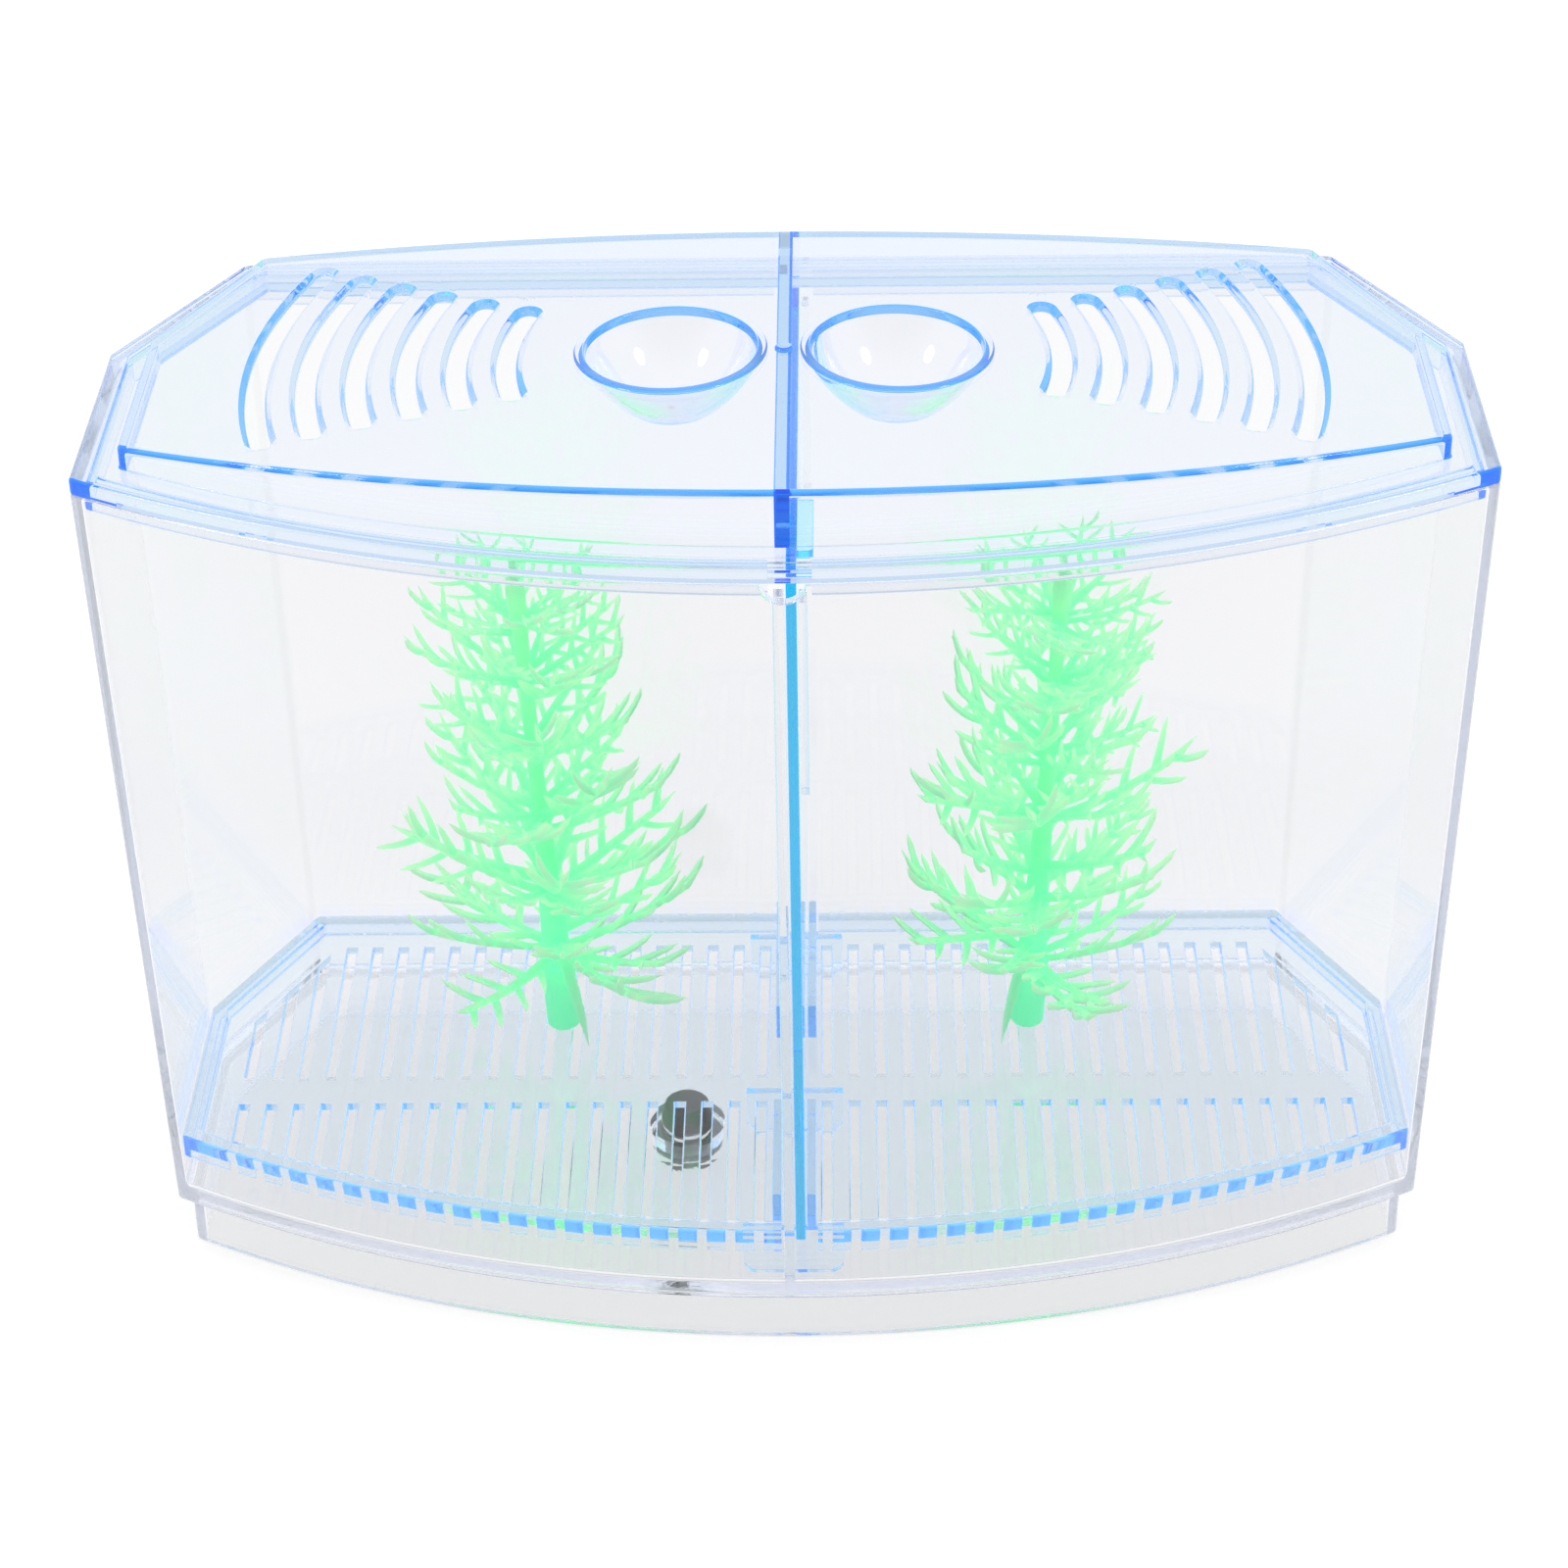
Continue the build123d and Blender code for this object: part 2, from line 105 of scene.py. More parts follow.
tray_plate_top = 18.8
tray_plate_bottom = 17.6
tray_rim_top = 20.5
tray_skirt_bottom = 16.6
tray_rim_width = 2.6
tray_skirt_wall = 1.3
slot_width = 1.4
slot_bar_front = -7.1
slot_bar_back = -0.6
slot_back_margin = 4.0
tray_gap = 0.35
tray_rib_width, tray_rib_height = 1.3, 6.0
tray_rib_lengths = (22.4, 28.0)
foot_half_width, foot_half_depth = 7.25, 0.65

divider_left, divider_right = 0.4, 1.8
divider_top = rim_height - 0.6
divider_gap = 0.4
flange_start, flange_length = 6.5, 16.8
flange_reach, flange_thickness = 2.2, 1.6

plug_radius = 3.87
plug_flange_radius, plug_flange_thickness = 5.7, 1.5
plug_grip_radius, plug_grip_length = 3.4, 1.1

plant_x = 35.5
plant_y = 12.8
plant_lean = 2.8


def wall_inset(height):
    """How far the drafted outer wall lies inside the rim's outline at a height."""
    return draft_inset * (rim_height - height) / (rim_height - base_height)


def inner_front_y(height):
    """Inner face of the front wall, in the middle of the bow."""
    return front_y + wall_inset(height) + wall


def inner_back_y(height):
    """Inner face of the back wall."""
    return back_y - wall_inset(height) - wall


roof_rise = roof_crown - roof_shoulder
roof_radius = ((half_width - hood_inset) ** 2 + roof_rise**2) / (2 * roof_rise)


def roof_z(x):
    """Height of the roof's arched top."""
    return roof_crown - roof_radius + sqrt(roof_radius**2 - x * x)


# The tank's plan: bowed front, straight sides, chamfered back corners, straight back
BOW_STEPS = 110
CORNER_STEPS = 4
STRAIGHT_STEPS = (4, 10, 80, 10, 4)
bow_centre = Vector((0, front_y + bow_radius))
straight_corners = [
    Vector((half_width, front_y + bow_depth)),
    Vector((half_width - side_taper, front_y + bow_depth + side_length)),
    Vector((back_half_width, back_y)),
    Vector((-back_half_width, back_y)),
    Vector((-half_width + side_taper, front_y + bow_depth + side_length)),
    Vector((-half_width, front_y + bow_depth)),
]


def inset_corners(inset):
    """Corners of the plan moved inwards, from the right end of the bow round the back to its left end."""
    sides = []
    for start, end in zip(straight_corners, straight_corners[1:]):
        along = (end - start).normalized()
        inwards = Vector((-along.y, along.x))
        sides.append((start + inwards * inset, along))
    corners = []
    for (a, u), (b, v) in zip(sides, sides[1:]):
        cross = u.x * v.y - u.y * v.x
        gap = b - a
        corners.append(a + u * ((gap.x * v.y - gap.y * v.x) / cross))
    # The ends of the bow, where the sides meet the circle
    a, u = sides[0]
    offset = a - bow_centre
    half = offset.dot(u)
    depth = half * half - offset.dot(offset) + (bow_radius - inset) ** 2
    end = a + u * (-half - sqrt(depth))
    return [end] + corners + [Vector((-end.x, end.y))]


def arc(centre, radius, first, turn, steps):
    """Points of an arc that starts at one angle and turns by another."""
    angles = [first + turn * step / steps for step in range(steps + 1)]
    return [centre + Vector((cos(angle), sin(angle))) * radius for angle in angles]


def outward_angle(side, centre):
    """Angle at which a straight side of the plan faces, or else the bow at a corner's centre."""
    if 0 <= side < len(straight_corners) - 1:
        along = straight_corners[side + 1] - straight_corners[side]
        out = Vector((along.y, -along.x)).normalized()
    else:
        out = (centre - bow_centre).normalized()
    return atan2(out.y, out.x)


def plan_outline(inset, corner=0.3):
    """Points of the plan moved inwards, with round corners, counter-clockwise from the bow's left end."""
    centres = inset_corners(inset + corner)
    turns = [(outward_angle(i - 1, centre), outward_angle(i, centre)) for i, centre in enumerate(centres)]
    left_angle = turns[-1][1]
    right_angle = turns[0][0]
    start = left_angle if left_angle < 0 else left_angle - 2 * pi
    points = arc(bow_centre, bow_radius - inset, start, right_angle - start, BOW_STEPS)[1:-1]
    for index, (centre, (first, last)) in enumerate(zip(centres, turns)):
        while last < first:
            last += 2 * pi
        points += arc(centre, corner, first, last - first, CORNER_STEPS)
        if index < len(STRAIGHT_STEPS):
            run = centres[index + 1] - centre
            steps = STRAIGHT_STEPS[index]
            points += [points[-1] + run * (step / steps) for step in range(1, steps)]
    return points


def rounded(points, radii, steps=4, closed=False):
    """Points with an arc at each corner that has a radius."""
    count = len(points)
    out = []
    for index, (point, radius) in enumerate(zip(points, radii)):
        here = Vector(point)
        if radius <= 0 or (not closed and index in (0, count - 1)):
            out.append(here)
            continue
        before = (Vector(points[index - 1]) - here).normalized()
        after = (Vector(points[(index + 1) % count]) - here).normalized()
        half = acos(max(-1, min(1, before.dot(after)))) / 2
        centre = here + (before + after).normalized() * (radius / sin(half))
        start = here + before * (radius * cos(half) / sin(half))
        end = here + after * (radius * cos(half) / sin(half))
        first = atan2(start.y - centre.y, start.x - centre.x)
        turn = atan2(end.y - centre.y, end.x - centre.x) - first
        out += arc(centre, radius, first, (turn + pi) % (2 * pi) - pi, steps)
    return out


# Meshes, made in millimetres
def solid(name, vertices, faces):
    """Closed body from points in millimetres, its faces turned outwards."""
    shell = bmesh.new()
    corners = [shell.verts.new(v) for v in vertices]
    for face in faces:
        shell.faces.new([corners[index] for index in face])
    bmesh.ops.remove_doubles(shell, verts=shell.verts, dist=1e-4)
    bmesh.ops.dissolve_degenerate(shell, edges=shell.edges, dist=1e-5)
    bmesh.ops.recalc_face_normals(shell, faces=shell.faces)
    mesh = bpy.data.meshes.new(name)
    shell.to_mesh(mesh)
    shell.free()
    return placed(name, mesh)


def placed(name, data):
    """New object in the scene."""
    thing = bpy.data.objects.new(name, data)
    bpy.context.scene.collection.objects.link(thing)
    return thing


@contextmanager
def edited(mesh):
    """The mesh as a bmesh, which is written back at the end."""
    shell = bmesh.new()
    shell.from_mesh(mesh)
    yield shell
    shell.to_mesh(mesh)
    shell.free()


def turned_outwards(body):
    """Recalculates the body's normals."""
    with edited(body.data) as shell:
        bmesh.ops.recalc_face_normals(shell, faces=shell.faces)
    return body


def arch_cap(outline, height):
    """Triangles that close an outline with a surface that follows the roof's arch."""
    inside = []
    columns = 80
    reach = max(point.x for point in outline)
    for column in range(-columns, columns + 1):
        x = reach * column / (columns + 0.6)
        for y in range(-42, 43, 7):
            if within(outline, x, y, 0.8):
                inside.append(Vector((x, y)))
    ring = [point.copy() for point in outline]
    edges = [(index, (index + 1) % len(ring)) for index in range(len(ring))]
    points, _, faces, *_ = delaunay_2d_cdt(ring + inside, edges, [list(range(len(ring)))], 1, 1e-7)
    return [(p.x, p.y, height(p.x)) for p in points], faces


def within(outline, x, y, margin):
    """Whether a point lies inside a convex outline by a margin."""
    for a, b in zip(outline, outline[1:] + outline[:1]):
        along = b - a
        away = along.x * (y - a.y) - along.y * (x - a.x)
        if along.length >= 1e-6 and away / along.length < margin:
            return False
    return True


def bands(count, levels, closed=False):
    """Faces between rings that follow each other, and from the last to the first if closed."""
    faces = []
    for level in range(levels if closed else levels - 1):
        a, b = level * count, (level + 1) % levels * count
        for index in range(count):
            after = (index + 1) % count
            faces.append((a + index, a + after, b + after, b + index))
    return faces


def lofted(name, rings, caps=(None, None)):
    """Body through rings of equal count, closed by flat faces or by arched ones."""
    count = len(rings[0])
    vertices = [point for ring in rings for point in ring]
    faces = bands(count, len(rings))
    for cap, ring, base in zip(caps, (rings[0], rings[-1]), (0, (len(rings) - 1) * count)):
        if cap is None:
            faces.append([base + index for index in range(count)])
        else:
            points, cells = arch_cap([Vector(point[:2]) for point in ring], cap)
            start = len(vertices)
            vertices += points
            faces += [[start + index for index in cell] for cell in cells]
    return solid(name, vertices, faces)


def plan_ring(inset, height, corner=0.3):
    """Ring of the plan's outline at a height, which may follow the arch."""
    if callable(height):
        return [(p.x, p.y, height(p.x)) for p in plan_outline(inset, corner)]
    return [(p.x, p.y, height) for p in plan_outline(inset, corner)]


def prism(name, outline, low, high, axis="z", bevel=0.0):
    """Body between two planes, from an outline in the plane across the axis."""
    count = len(outline)
    vertices = []
    for level in (low, high):
        for point in outline:
            place = [point[0], point[1]]
            place.insert("xyz".index(axis), level)
            vertices.append(place)
    faces = [range(count), range(2 * count - 1, count - 1, -1)] + bands(count, 2)
    body = solid(name, vertices, faces)
    if bevel > 0:
        with edited(body.data) as shell:
            edges = [edge for edge in shell.edges if edge.calc_face_angle(0) > radians(30)]
            bmesh.ops.bevel(shell, geom=edges, offset=bevel, segments=2, profile=0.5, affect="EDGES")
    return body


def block(name, low, high, bevel=0.0):
    """Rectangular body between two corners."""
    outline = [(low[0], low[1]), (high[0], low[1]), (high[0], high[1]), (low[0], high[1])]
    return prism(name, outline, low[2], high[2], bevel=bevel)


def turned(name, profile, centre, steps=96):
    """Body turned round an upright axis from (radius, height) points that start and end on the axis."""
    vertices = []
    inner = profile[1:-1]
    for radius, height in inner:
        for step in range(steps):
            angle = 2 * pi * step / steps
            vertices.append((centre[0] + radius * cos(angle), centre[1] + radius * sin(angle), height))
    faces = bands(steps, len(inner))
    for end, base in ((profile[0], 0), (profile[-1], (len(inner) - 1) * steps)):
        vertices.append((centre[0], centre[1], end[1]))
        tip = len(vertices) - 1
        faces += [(tip, base + step, base + (step + 1) % steps) for step in range(steps)]
    return solid(name, vertices, faces)


def settled(body):
    """The body's mesh with its modifiers applied and removed."""
    picture = bpy.context.evaluated_depsgraph_get()
    mesh = bpy.data.meshes.new_from_object(body.evaluated_get(picture), depsgraph=picture)
    body.modifiers.clear()
    old = body.data
    body.data = mesh
    bpy.data.meshes.remove(old)
    return body


def combine(body, tools, operation):
    """Joins the tools to the body, or cuts them from it."""
    for tool in tools:
        step = body.modifiers.new("step", "BOOLEAN")
        step.operation = operation
        step.solver = "MANIFOLD"
        step.object = tool
        bpy.context.view_layer.update()
        settled(body)
    for tool in tools:
        bpy.data.objects.remove(tool, do_unlink=True)
    return body


def finished(body, finish, body_name, nodes, sharp_angle=38):
    """Brings a piece to metres, smooths it, and puts it in the frame."""
    mesh = body.data
    mesh.transform(Matrix.Scale(0.001, 4))
    with edited(mesh) as shell:
        bmesh.ops.remove_doubles(shell, verts=shell.verts, dist=2e-7)
        loose = [v for v in shell.verts if not v.link_faces]
        bmesh.ops.delete(shell, geom=loose, context="VERTS")
    mesh.shade_smooth()
    mesh.set_sharp_from_angle(angle=radians(sharp_angle))
    evening = body.modifiers.new("even_normals", "WEIGHTED_NORMAL")
    evening.keep_sharp = True
    evening.weight = 50
    bpy.context.view_layer.update()
    settled(body)
    body.data.materials.clear()
    body.data.materials.append(finish)
    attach(body, body_name)
    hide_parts(*nodes)
    return body


# Node trees, for finishes and for what repeats
class Signal:
    """A socket of a node tree, on which sums and products add their Math nodes."""

    def __init__(self, tree, socket):
        self.tree = tree
        self.socket = socket

    def math(self, operation, other=0.0, swapped=False):
        pair = (other, self) if swapped else (self, other)
        return self.tree.add("ShaderNodeMath", {"operation": operation}, dict(enumerate(pair)))

    def __add__(self, other):
        return self.math("ADD", other)

    def __sub__(self, other):
        return self.math("SUBTRACT", other)

    def __rsub__(self, other):
        return self.math("SUBTRACT", other, True)

    def __mul__(self, other):
        return self.math("MULTIPLY", other)

    def __truediv__(self, other):
        return self.math("DIVIDE", other)

    def __rtruediv__(self, other):
        return self.math("DIVIDE", other, True)

    def __pow__(self, other):
        return self.math("POWER", other)

    __radd__ = __add__
    __rmul__ = __mul__

    def smooth(self, low, high):
        """Nought below low, one above high and a soft step between them."""
        inputs = {"Value": self, "From Min": low, "From Max": high}
        return self.tree.add("ShaderNodeMapRange", {"interpolation_type": "SMOOTHSTEP"}, inputs)


class Tree:
    """A node tree that is built by name."""

    def __init__(self, nodes):
        self.nodes = nodes

    def add(self, kind, settings=None, inputs=None, output=0):
        """Adds a node with its settings, then the values or links of its sockets."""
        node = self.nodes.nodes.new(kind)
        for key, value in (settings or {}).items():
            if key == "stops":
                ramp = node.color_ramp
                while len(ramp.elements) > 1:
                    ramp.elements.remove(ramp.elements[-1])
                for index, (place, colour) in enumerate(value):
                    stop = ramp.elements[0] if index == 0 else ramp.elements.new(place)
                    stop.position = place
                    stop.color = colour
            else:
                setattr(node, key, value)
        for key, value in (inputs or {}).items():
            self.feed(node.inputs[key], value)
        return node if output is None else Signal(self, node.outputs[output])

    def feed(self, socket, value):
        """Gives a socket a value or a link."""
        if isinstance(value, Signal):
            self.nodes.links.new(value.socket, socket)
        else:
            socket.default_value = value

    def noise(self, place, scale, detail, roughness=0.5):
        """Cloudy values round one half."""
        inputs = {"Vector": place, "Scale": scale, "Detail": detail, "Roughness": roughness}
        return self.add("ShaderNodeTexNoise", {}, inputs)

    def mixed(self, factor, first, second, blend="MIX"):
        """Colour between two others, or their product."""
        settings = {"data_type": "RGBA", "blend_type": blend}
        return self.add("ShaderNodeMix", settings, {"Factor": factor, "A": first, "B": second}, "Result")

    def part(self, vector, axis):
        """One coordinate of a vector."""
        return self.add("ShaderNodeSeparateXYZ", {}, {"Vector": vector}, axis)

    def bumps(self, height, strength, distance):
        """Normal that follows a fine relief."""
        return self.add("ShaderNodeBump", {}, {"Height": height, "Strength": strength, "Distance": distance})

    def end(self, surface, **more):
        """Ends a material with its surface and, in clear plastic, what is inside."""
        ends = {"Surface": self.add("ShaderNodeBsdfPrincipled", {}, surface), **more}
        self.add("ShaderNodeOutputMaterial", {}, ends, None)


    def whole(self, parts, finish):
        """Joins pieces of geometry, makes them real and gives them their finish."""
        joined = self.add("GeometryNodeJoinGeometry", output=None)
        for part in parts:
            self.feed(joined.inputs[0], part)
        real = self.add("GeometryNodeRealizeInstances", {}, {"Geometry": Signal(self, joined.outputs[0])})
        return self.add("GeometryNodeSetMaterial", {}, {"Geometry": real, "Material": finish})


def new_finish(name):
    """Empty material, its tree and the place on the piece."""
    material = bpy.data.materials.new(name)
    material.use_nodes = True
    material.node_tree.nodes.clear()
    tree = Tree(material.node_tree)
    return material, tree, tree.add("ShaderNodeTexCoord", output="Object")


BLACK, WHITE = (0, 0, 0, 1), (1, 1, 1, 1)
LAST_BOUNCE = 15


def moulded_clear(name, skin, painted_glow, absorbed, density, grain, waviness=0.03, scuff=0.02, streak=0.0):
    """Clear moulded plastic: tinted through its depth, faintly wavy, with fine scuffs and flow marks.

    Paths still trapped between the walls at the last bounce end in a painted glow of a colour of its own,
    standing in for light piped along the sheet.
    """
    material, tree, place = new_finish(name)
    material.cycles.emission_sampling = "NONE"
    late = tree.add("ShaderNodeLightPath", output="Ray Depth").math("GREATER_THAN", LAST_BOUNCE - 0.5)
    stretched = tree.add("ShaderNodeMapping", {}, {"Vector": place, "Scale": grain})
    wave = tree.noise(stretched, 1.0, 2.0, 0.45)
    marks = tree.noise(place, 900.0, 4.0, 0.6).smooth(0.56, 0.74)
    smear = tree.noise(place, 38.0, 3.0, 0.55).smooth(0.5, 0.8)
    relief = wave + marks * 0.02
    if streak > 0:
        lines = tree.add("ShaderNodeMapping", {}, {"Vector": place, "Scale": (900, 900, 12)})
        low_band = 1 - tree.part(place, "Z").smooth(0.004, 0.011)
        relief = relief + tree.noise(lines, 1.0, 2.0) * low_band * streak
    surface = {
        "Base Color": skin,
        "Transmission Weight": 1.0,
        "IOR": 1.49,
        "Roughness": 0.02 + smear * scuff + marks * (2 * scuff),
        # Painted glow: emission in its own colour on rays past the last bounce
        "Emission Color": tree.mixed(late, BLACK, painted_glow),
        "Emission Strength": 1.0,
        "Normal": tree.bumps(relief, waviness, 0.001),
    }
    tint = tree.add("ShaderNodeVolumeAbsorption", {}, {"Color": absorbed, "Density": density})
    tree.end(surface, Volume=tint)
    return material


def moulded_rubber():
    """Dark grey-green rubber with a fine satin grain and a dusty bloom."""
    material, tree, place = new_finish("plug_rubber")
    grain = tree.noise(place, 2200.0, 3.0)
    bloom = tree.noise(place, 260.0, 4.0).smooth(0.4, 0.7)
    surface = {
        "Base Color": tree.mixed(bloom, (0.018, 0.024, 0.022, 1), (0.045, 0.055, 0.05, 1)),
        "Roughness": 0.42 + grain * 0.2,
        "Specular IOR Level": 0.5,
        "Normal": tree.bumps(grain, 0.25, 0.0002),
    }
    tree.end(surface)
    return material


def plant_plastic():
    """Soft translucent green plastic that turns yellow-green towards the leaf tips."""
    material, tree, place = new_finish("plant_plastic")
    tip = tree.add("ShaderNodeAttribute", {"attribute_name": "tip"}, {}, "Fac")
    mottle = tree.noise(place, 420.0, 3.0)
    grain = tree.noise(place, 2600.0, 2.0)
    stops = [(0.0, (0.17, 0.93, 0.47, 1)), (0.4, (0.4, 0.98, 0.53, 1)), (1.0, (0.8, 1.0, 0.6, 1))]
    green = tree.add("ShaderNodeValToRGB", {"stops": stops}, {"Fac": tip + (mottle - 0.5) * 0.35}, "Color")
    # Painted glow that stands in for light through the plastic and keeps shaded parts bright: full in the
    # stem and the peg, cooler and weaker in the leaves
    through = tree.mixed(tip.smooth(0.02, 0.2), (0.6, 1.0, 0.95, 1), (0.3, 0.58, 0.57, 1))
    surface = {
        "Base Color": green,
        "Roughness": 0.38 + mottle * 0.14,
        "Subsurface Weight": 0.5,
        "Subsurface Radius": (0.55, 1.0, 0.6),
        "Subsurface Scale": 0.0015,
        # Painted glow: the green times the tint above, so shaded sides stay bright and turn teal
        "Emission Color": tree.mixed(1.0, green, through, "MULTIPLY"),
        "Emission Strength": 0.62,
        "Normal": tree.bumps(grain + mottle, 0.2, 0.0002),
    }
    tree.end(surface)
    return material


def pale_floor():
    """White studio board, softly lit from below as for clear goods, fainter before and behind the tank."""
    material, tree, place = new_finish("studio_board")
    material.cycles.emission_sampling = "NONE"
    depth = tree.part(place, "Y")
    lit = 1 - (0 - depth).smooth(0.07, 0.3) * 0.6 - depth.smooth(0.03, 0.12) * 0.13
    seen = tree.add("ShaderNodeLightPath", output="Is Camera Ray")
    surface = {
        "Base Color": (0.42, 0.42, 0.42, 1),
        "Roughness": 0.9,
        "Specular IOR Level": 0.0,
        "Emission Color": tree.mixed(lit.math("MAXIMUM", seen), BLACK, WHITE),
        "Emission Strength": 0.73,
    }
    tree.end(surface)
    return material


def repeating(name, inputs, build):
    """Geometry tree that takes a piece's mesh and named sizes, with the numbers of its sockets."""
    group = bpy.data.node_groups.new(name, "GeometryNodeTree")
    group.interface.new_socket("Piece", in_out="INPUT", socket_type="NodeSocketGeometry")
    sockets = {}
    for label, value in inputs.items():
        kind = "NodeSocketInt" if isinstance(value, int) else "NodeSocketFloat"
        sockets[label] = group.interface.new_socket(label, in_out="INPUT", socket_type=kind)
    group.interface.new_socket("Result", in_out="OUTPUT", socket_type="NodeSocketGeometry")
    tree = Tree(group)
    start = tree.add("NodeGroupInput", output=None)
    named = {output.name: Signal(tree, output) for output in start.outputs if output.name}
    tree.add("NodeGroupOutput", {}, {0: build(tree, named)}, None)
    return group, {label: socket.identifier for label, socket in sockets.items()}


def grown(body, group, identifiers, values):
    """Runs a geometry tree on a body and leaves a plain mesh with its faces turned outwards."""
    growth = body.modifiers.new("growth", "NODES")
    growth.node_group = group
    for label, value in values.items():
        growth[identifiers[label]] = value
    bpy.context.view_layer.update()
    return turned_outwards(settled(body))


blue_clear = moulded_clear(
    "lid_blue_clear",
    skin=(0.99, 0.98, 1, 1),
    painted_glow=(0.3, 0.51, 0.97, 1),
    absorbed=(0.0, 0.56, 0.965, 1),
    density=50.0,
    grain=(45, 45, 45),
)
tank_clear = moulded_clear(
    "tank_clear",
    skin=(0.95, 0.948, 0.958, 1),
    painted_glow=(0.7, 0.7, 0.76, 1),
    absorbed=(0.0, 0.07, 0.16, 1),
    density=9.0,
    grain=(38, 38, 10),
    streak=3.0,
)
tray_clear = moulded_clear(
    "tray_blue_clear",
    skin=(0.96, 0.985, 1, 1),
    painted_glow=(0.58, 0.75, 0.95, 1),
    absorbed=(0.0, 0.56, 0.965, 1),
    density=60.0,
    grain=(90, 90, 90),
    scuff=0.03,
)
divider_azure = moulded_clear(
    "divider_azure",
    skin=(0.97, 0.99, 1, 1),
    painted_glow=(0.03, 0.33, 0.85, 1),
    absorbed=(0.0, 0.966, 0.996, 1),
    density=200.0,
    grain=(50, 50, 20),
    waviness=0.04,
)
plug_rubber = moulded_rubber()
plant_green = plant_plastic()


# Tank: base skirt, drafted walls and floor in one run of rings
def make_tank():
    top_inset = wall_inset(rim_height)
    skirt = draft_inset + base_skirt_inset
    floor_inset = wall_inset(floor_top) + wall
    floor_bottom, rim = floor_top - floor_thickness, rim_height - 0.02
    profile = [(skirt + wall + 1.0, floor_bottom), (skirt + wall, floor_bottom), (skirt + wall, 0.0)]
    profile += [(skirt, 0.0), (skirt, base_height), (draft_inset, base_height), (top_inset, rim)]
    profile += [(top_inset + wall, rim), (floor_inset, floor_top), (floor_inset + 3.0, floor_top)]
    radii = (0, 0.5, 0.35, 0.35, 0.25, 0.5, 0.35, 0.35, floor_fillet, 0)
    rings = []
    for inset, height in rounded(profile, radii, 5):
        inside = inset > wall_inset(max(height, base_height)) + wall / 2 and height > base_height
        rings.append(plan_ring(inset, height, 0.5 if inside else tank_corner))
    tank = lofted("tank_shell", rings)
    additions, cuts = [], []
    guides = ((guide_left, guide_right, floor_top - 1.0), (lip_left, lip_right, guide_top - lip_length))
    for left, right, bottom in guides:
        for inner_y, inwards in ((inner_front_y, 1), (inner_back_y, -1)):
            outline = [
                (inner_y(guide_top) - inwards * wall / 2, guide_top),
                (inner_y(guide_top) + inwards * guide_reach, guide_top),
                (inner_y(bottom) + inwards * guide_reach, bottom),
                (inner_y(bottom) - inwards * wall / 2, bottom),
            ]
            additions.append(prism("guide", outline, left, right, axis="x", bevel=0.2))
    neck_bottom = floor_top - neck_height
    neck_top = floor_top - 0.8
    neck = [(0, neck_bottom), (neck_radius, neck_bottom), (neck_radius, neck_top), (0, neck_top)]
    additions.append(turned("neck", rounded(neck, (0, 0.35, 0, 0)), (drain_x, drain_y)))
    sump_top, sump_floor = floor_top + 0.8, floor_top - sump_depth
    sump = [(0, sump_floor), (bore_radius, sump_floor), (sump_radius, floor_top)]
    sump += [(sump_radius + 1.2, sump_top), (0, sump_top)]
    cuts.append(turned("sump", rounded(sump, (0, 0, 0.12, 0, 0)), (drain_x, drain_y), 128))
    bore = [(0, -1.0), (bore_radius, -1.0), (bore_radius, floor_top + 1.0), (0, floor_top + 1.0)]
    cuts.append(turned("bore", bore, (drain_x, drain_y)))
    combine(tank, additions, "UNION")
    # Half-round finger notch, flared at both faces of the wall
    angles = [2 * pi * step / 48 for step in range(48)]
    rings = []
    for depth, flare in ((-1.0, 0.6), (0.1, 0.12), (0.22, 0.0), (1.58, 0.0), (1.7, 0.12), (2.8, 0.6)):
        radius = notch_radius + flare
        rings.append([(radius * cos(a), front_y + depth, rim_height + radius * sin(a)) for a in angles])
    cuts.append(lofted("notch", rings))
    return combine(tank, cuts, "DIFFERENCE")


finished(make_tank(), tank_clear, "tank", ["tank"])


# Vents: a straight slot is copied, bent about one centre and lifted to the arch
def vent_tool():
    """Straight vent along X, 2 mm long between the centres of its ends, flared at the roof's two faces."""
    profile = [(1.3, 1.2), (0.85, 0.06), (0.78, -0.01), (0.7, -0.06), (0.35, -0.34), (0.14, -0.5)]
    profile += [(0.04, -0.62), (0, -0.8), (0, -1.12), (0.05, -1.22), (0.2, -1.32), (0.5, -1.6), (0.6, -2.2)]
    rings = []
    arc_steps, run_steps = 12, 40
    for flare, drop in profile:
        half = vent_half_width + flare
        ring = []
        for end in (1, -1):
            for step in range(arc_steps + 1):
                angle = -pi / 2 + pi * step / arc_steps
                ring.append((end * (1 + half * cos(angle)), end * half * sin(angle), drop))
            for step in range(1, run_steps):
                ring.append((end * (1 - 2 * step / run_steps), end * half, drop))
        rings.append(ring)
    return lofted("vent_tool", rings)


